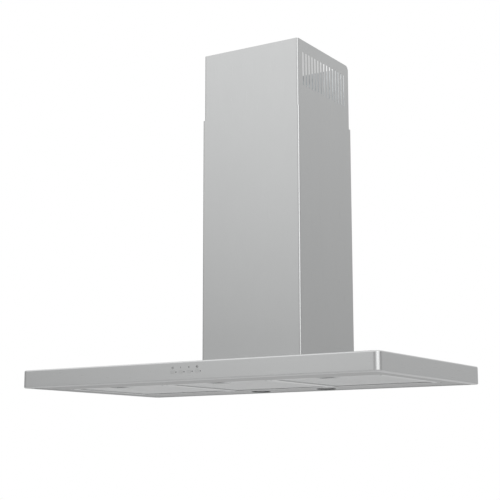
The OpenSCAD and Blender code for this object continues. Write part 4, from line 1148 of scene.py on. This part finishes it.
def tent_radiance(turn, rise):
    """How bright the tent is in a direction, in degrees."""
    for (turn_a, low_a, slope_a), (turn_b, low_b, slope_b) in zip(TENT_PANELS, TENT_PANELS[1:]):
        if turn_a <= turn <= turn_b:
            share = (turn - turn_a) / (turn_b - turn_a)
            low = low_a + share * (low_b - low_a)
            slope = slope_a + share * (slope_b - slope_a)
            level = limited(low + slope * rise, TENT_BOTTOM, TENT_TOP)
            overhead = limited((rise - TENT_BEND) / (TENT_EVEN - TENT_BEND), 0, 1)
            return level + overhead * (TENT_OVERHEAD - level)
    raise ValueError(f"no panel at {turn} degrees")


def make_tent():
    """A light tent of graduated cloth, seen by reflections alone: bright above, darker low and at the left.

    Brushed metal takes its light and dark bands from such a tent.
    """
    tent_r, low_rise = 7, -40
    turns, rises = 144, 48
    bm = bmesh.new()
    level = bm.loops.layers.float_color.new("level")
    rows = []
    for i in range(turns):
        turn = 360 * i / turns - 180
        row = []
        for j in range(rises + 1):
            rise = low_rise + (90 - low_rise) * j / rises
            toward = turned(turn, "Z") @ turned(-rise, "X") @ Vector((0, -tent_r, 0))
            row.append((bm.verts.new(toward), (tent_radiance(turn, rise),) * 3 + (1,)))
        rows.append(row)
    for here, there in zip(rows, rows[1:] + rows[:1]):
        for j in range(rises):
            corners = (here[j], there[j], there[j + 1], here[j + 1])
            face = bm.faces.new([v for v, value in corners])
            for loop, (v, value) in zip(face.loops, corners):
                loop[level] = value
    material, tree = new_material("tent_cloth")
    cloth = add_node(tree, "ShaderNodeVertexColor", {"layer_name": "level"})
    glow = add_node(tree, "ShaderNodeEmission", {"Strength": 1.0}, {"Color": cloth.outputs["Color"]})
    add_node(tree, "ShaderNodeOutputMaterial", links={"Surface": glow.outputs[0]})
    tent = stage_object("tent", bm, material)
    tent.visible_camera = False
    tent.visible_shadow = False
    tent.visible_diffuse = False
    tent.visible_transmission = False


def make_key_lamp(settings):
    """One key soft box at the front right, whose reflection draws the bright upright bends."""
    place, target = Vector((5.0, -3.2, 1.9)), Vector((0, 0, 0.4))
    width, height = 2.0, 2.2
    data = bpy.data.lights.new("key", "AREA")
    data.shape = "RECTANGLE"
    data.size = width
    data.size_y = height
    data.energy = settings.lamp_level * math.pi * width * height
    lamp = link_new("key", data)
    lamp.location = place
    lamp.rotation_euler = (target - place).to_track_quat("-Z", "Y").to_euler()
    lamp.visible_camera = False


PIECES = (HOOD_OT_finishes, HOOD_OT_filter_mesh, HOOD_OT_latches, HOOD_OT_lamps, HOOD_OT_symbols,
          HOOD_OT_screws, HOOD_OT_rivets, HOOD_OT_outlet, HOOD_OT_box_beads, HOOD_OT_electrical,
          HOOD_OT_motor, HOOD_OT_stage)


class HOOD_PT_panel(bpy.types.Panel):
    """Lists the steps that dress the hood"""

    bl_label = "Range Hood"
    bl_idname = "HOOD_PT_panel"
    bl_space_type = "VIEW_3D"
    bl_region_type = "UI"
    bl_category = "Range Hood"

    def draw(self, context):
        for piece in PIECES:
            self.layout.operator(piece.bl_idname)
        for group in (context.scene.hood_sizes, context.scene.hood_colours, context.scene.hood_stage):
            box = self.layout.box()
            for name in group.bl_rna.properties.keys():
                if name not in ("rna_type", "name"):
                    box.prop(group, name)


CLASSES = (HoodSizes, HoodColours, StageSettings) + PIECES + (HOOD_PT_panel,)


def register():
    """Registers the classes and the settings."""
    for cls in CLASSES:
        bpy.utils.register_class(cls)
    bpy.types.Scene.hood_sizes = PointerProperty(type=HoodSizes)
    bpy.types.Scene.hood_colours = PointerProperty(type=HoodColours)
    bpy.types.Scene.hood_stage = PointerProperty(type=StageSettings)


def unregister():
    """Takes the classes and the settings away again."""
    del bpy.types.Scene.hood_sizes
    del bpy.types.Scene.hood_colours
    del bpy.types.Scene.hood_stage
    for cls in reversed(CLASSES):
        bpy.utils.unregister_class(cls)


def main():
    """Dresses the hood."""
    register()
    for piece in PIECES:
        group, step = piece.bl_idname.split(".")
        getattr(getattr(bpy.ops, group), step)()


if __name__ == "__main__":
    main()
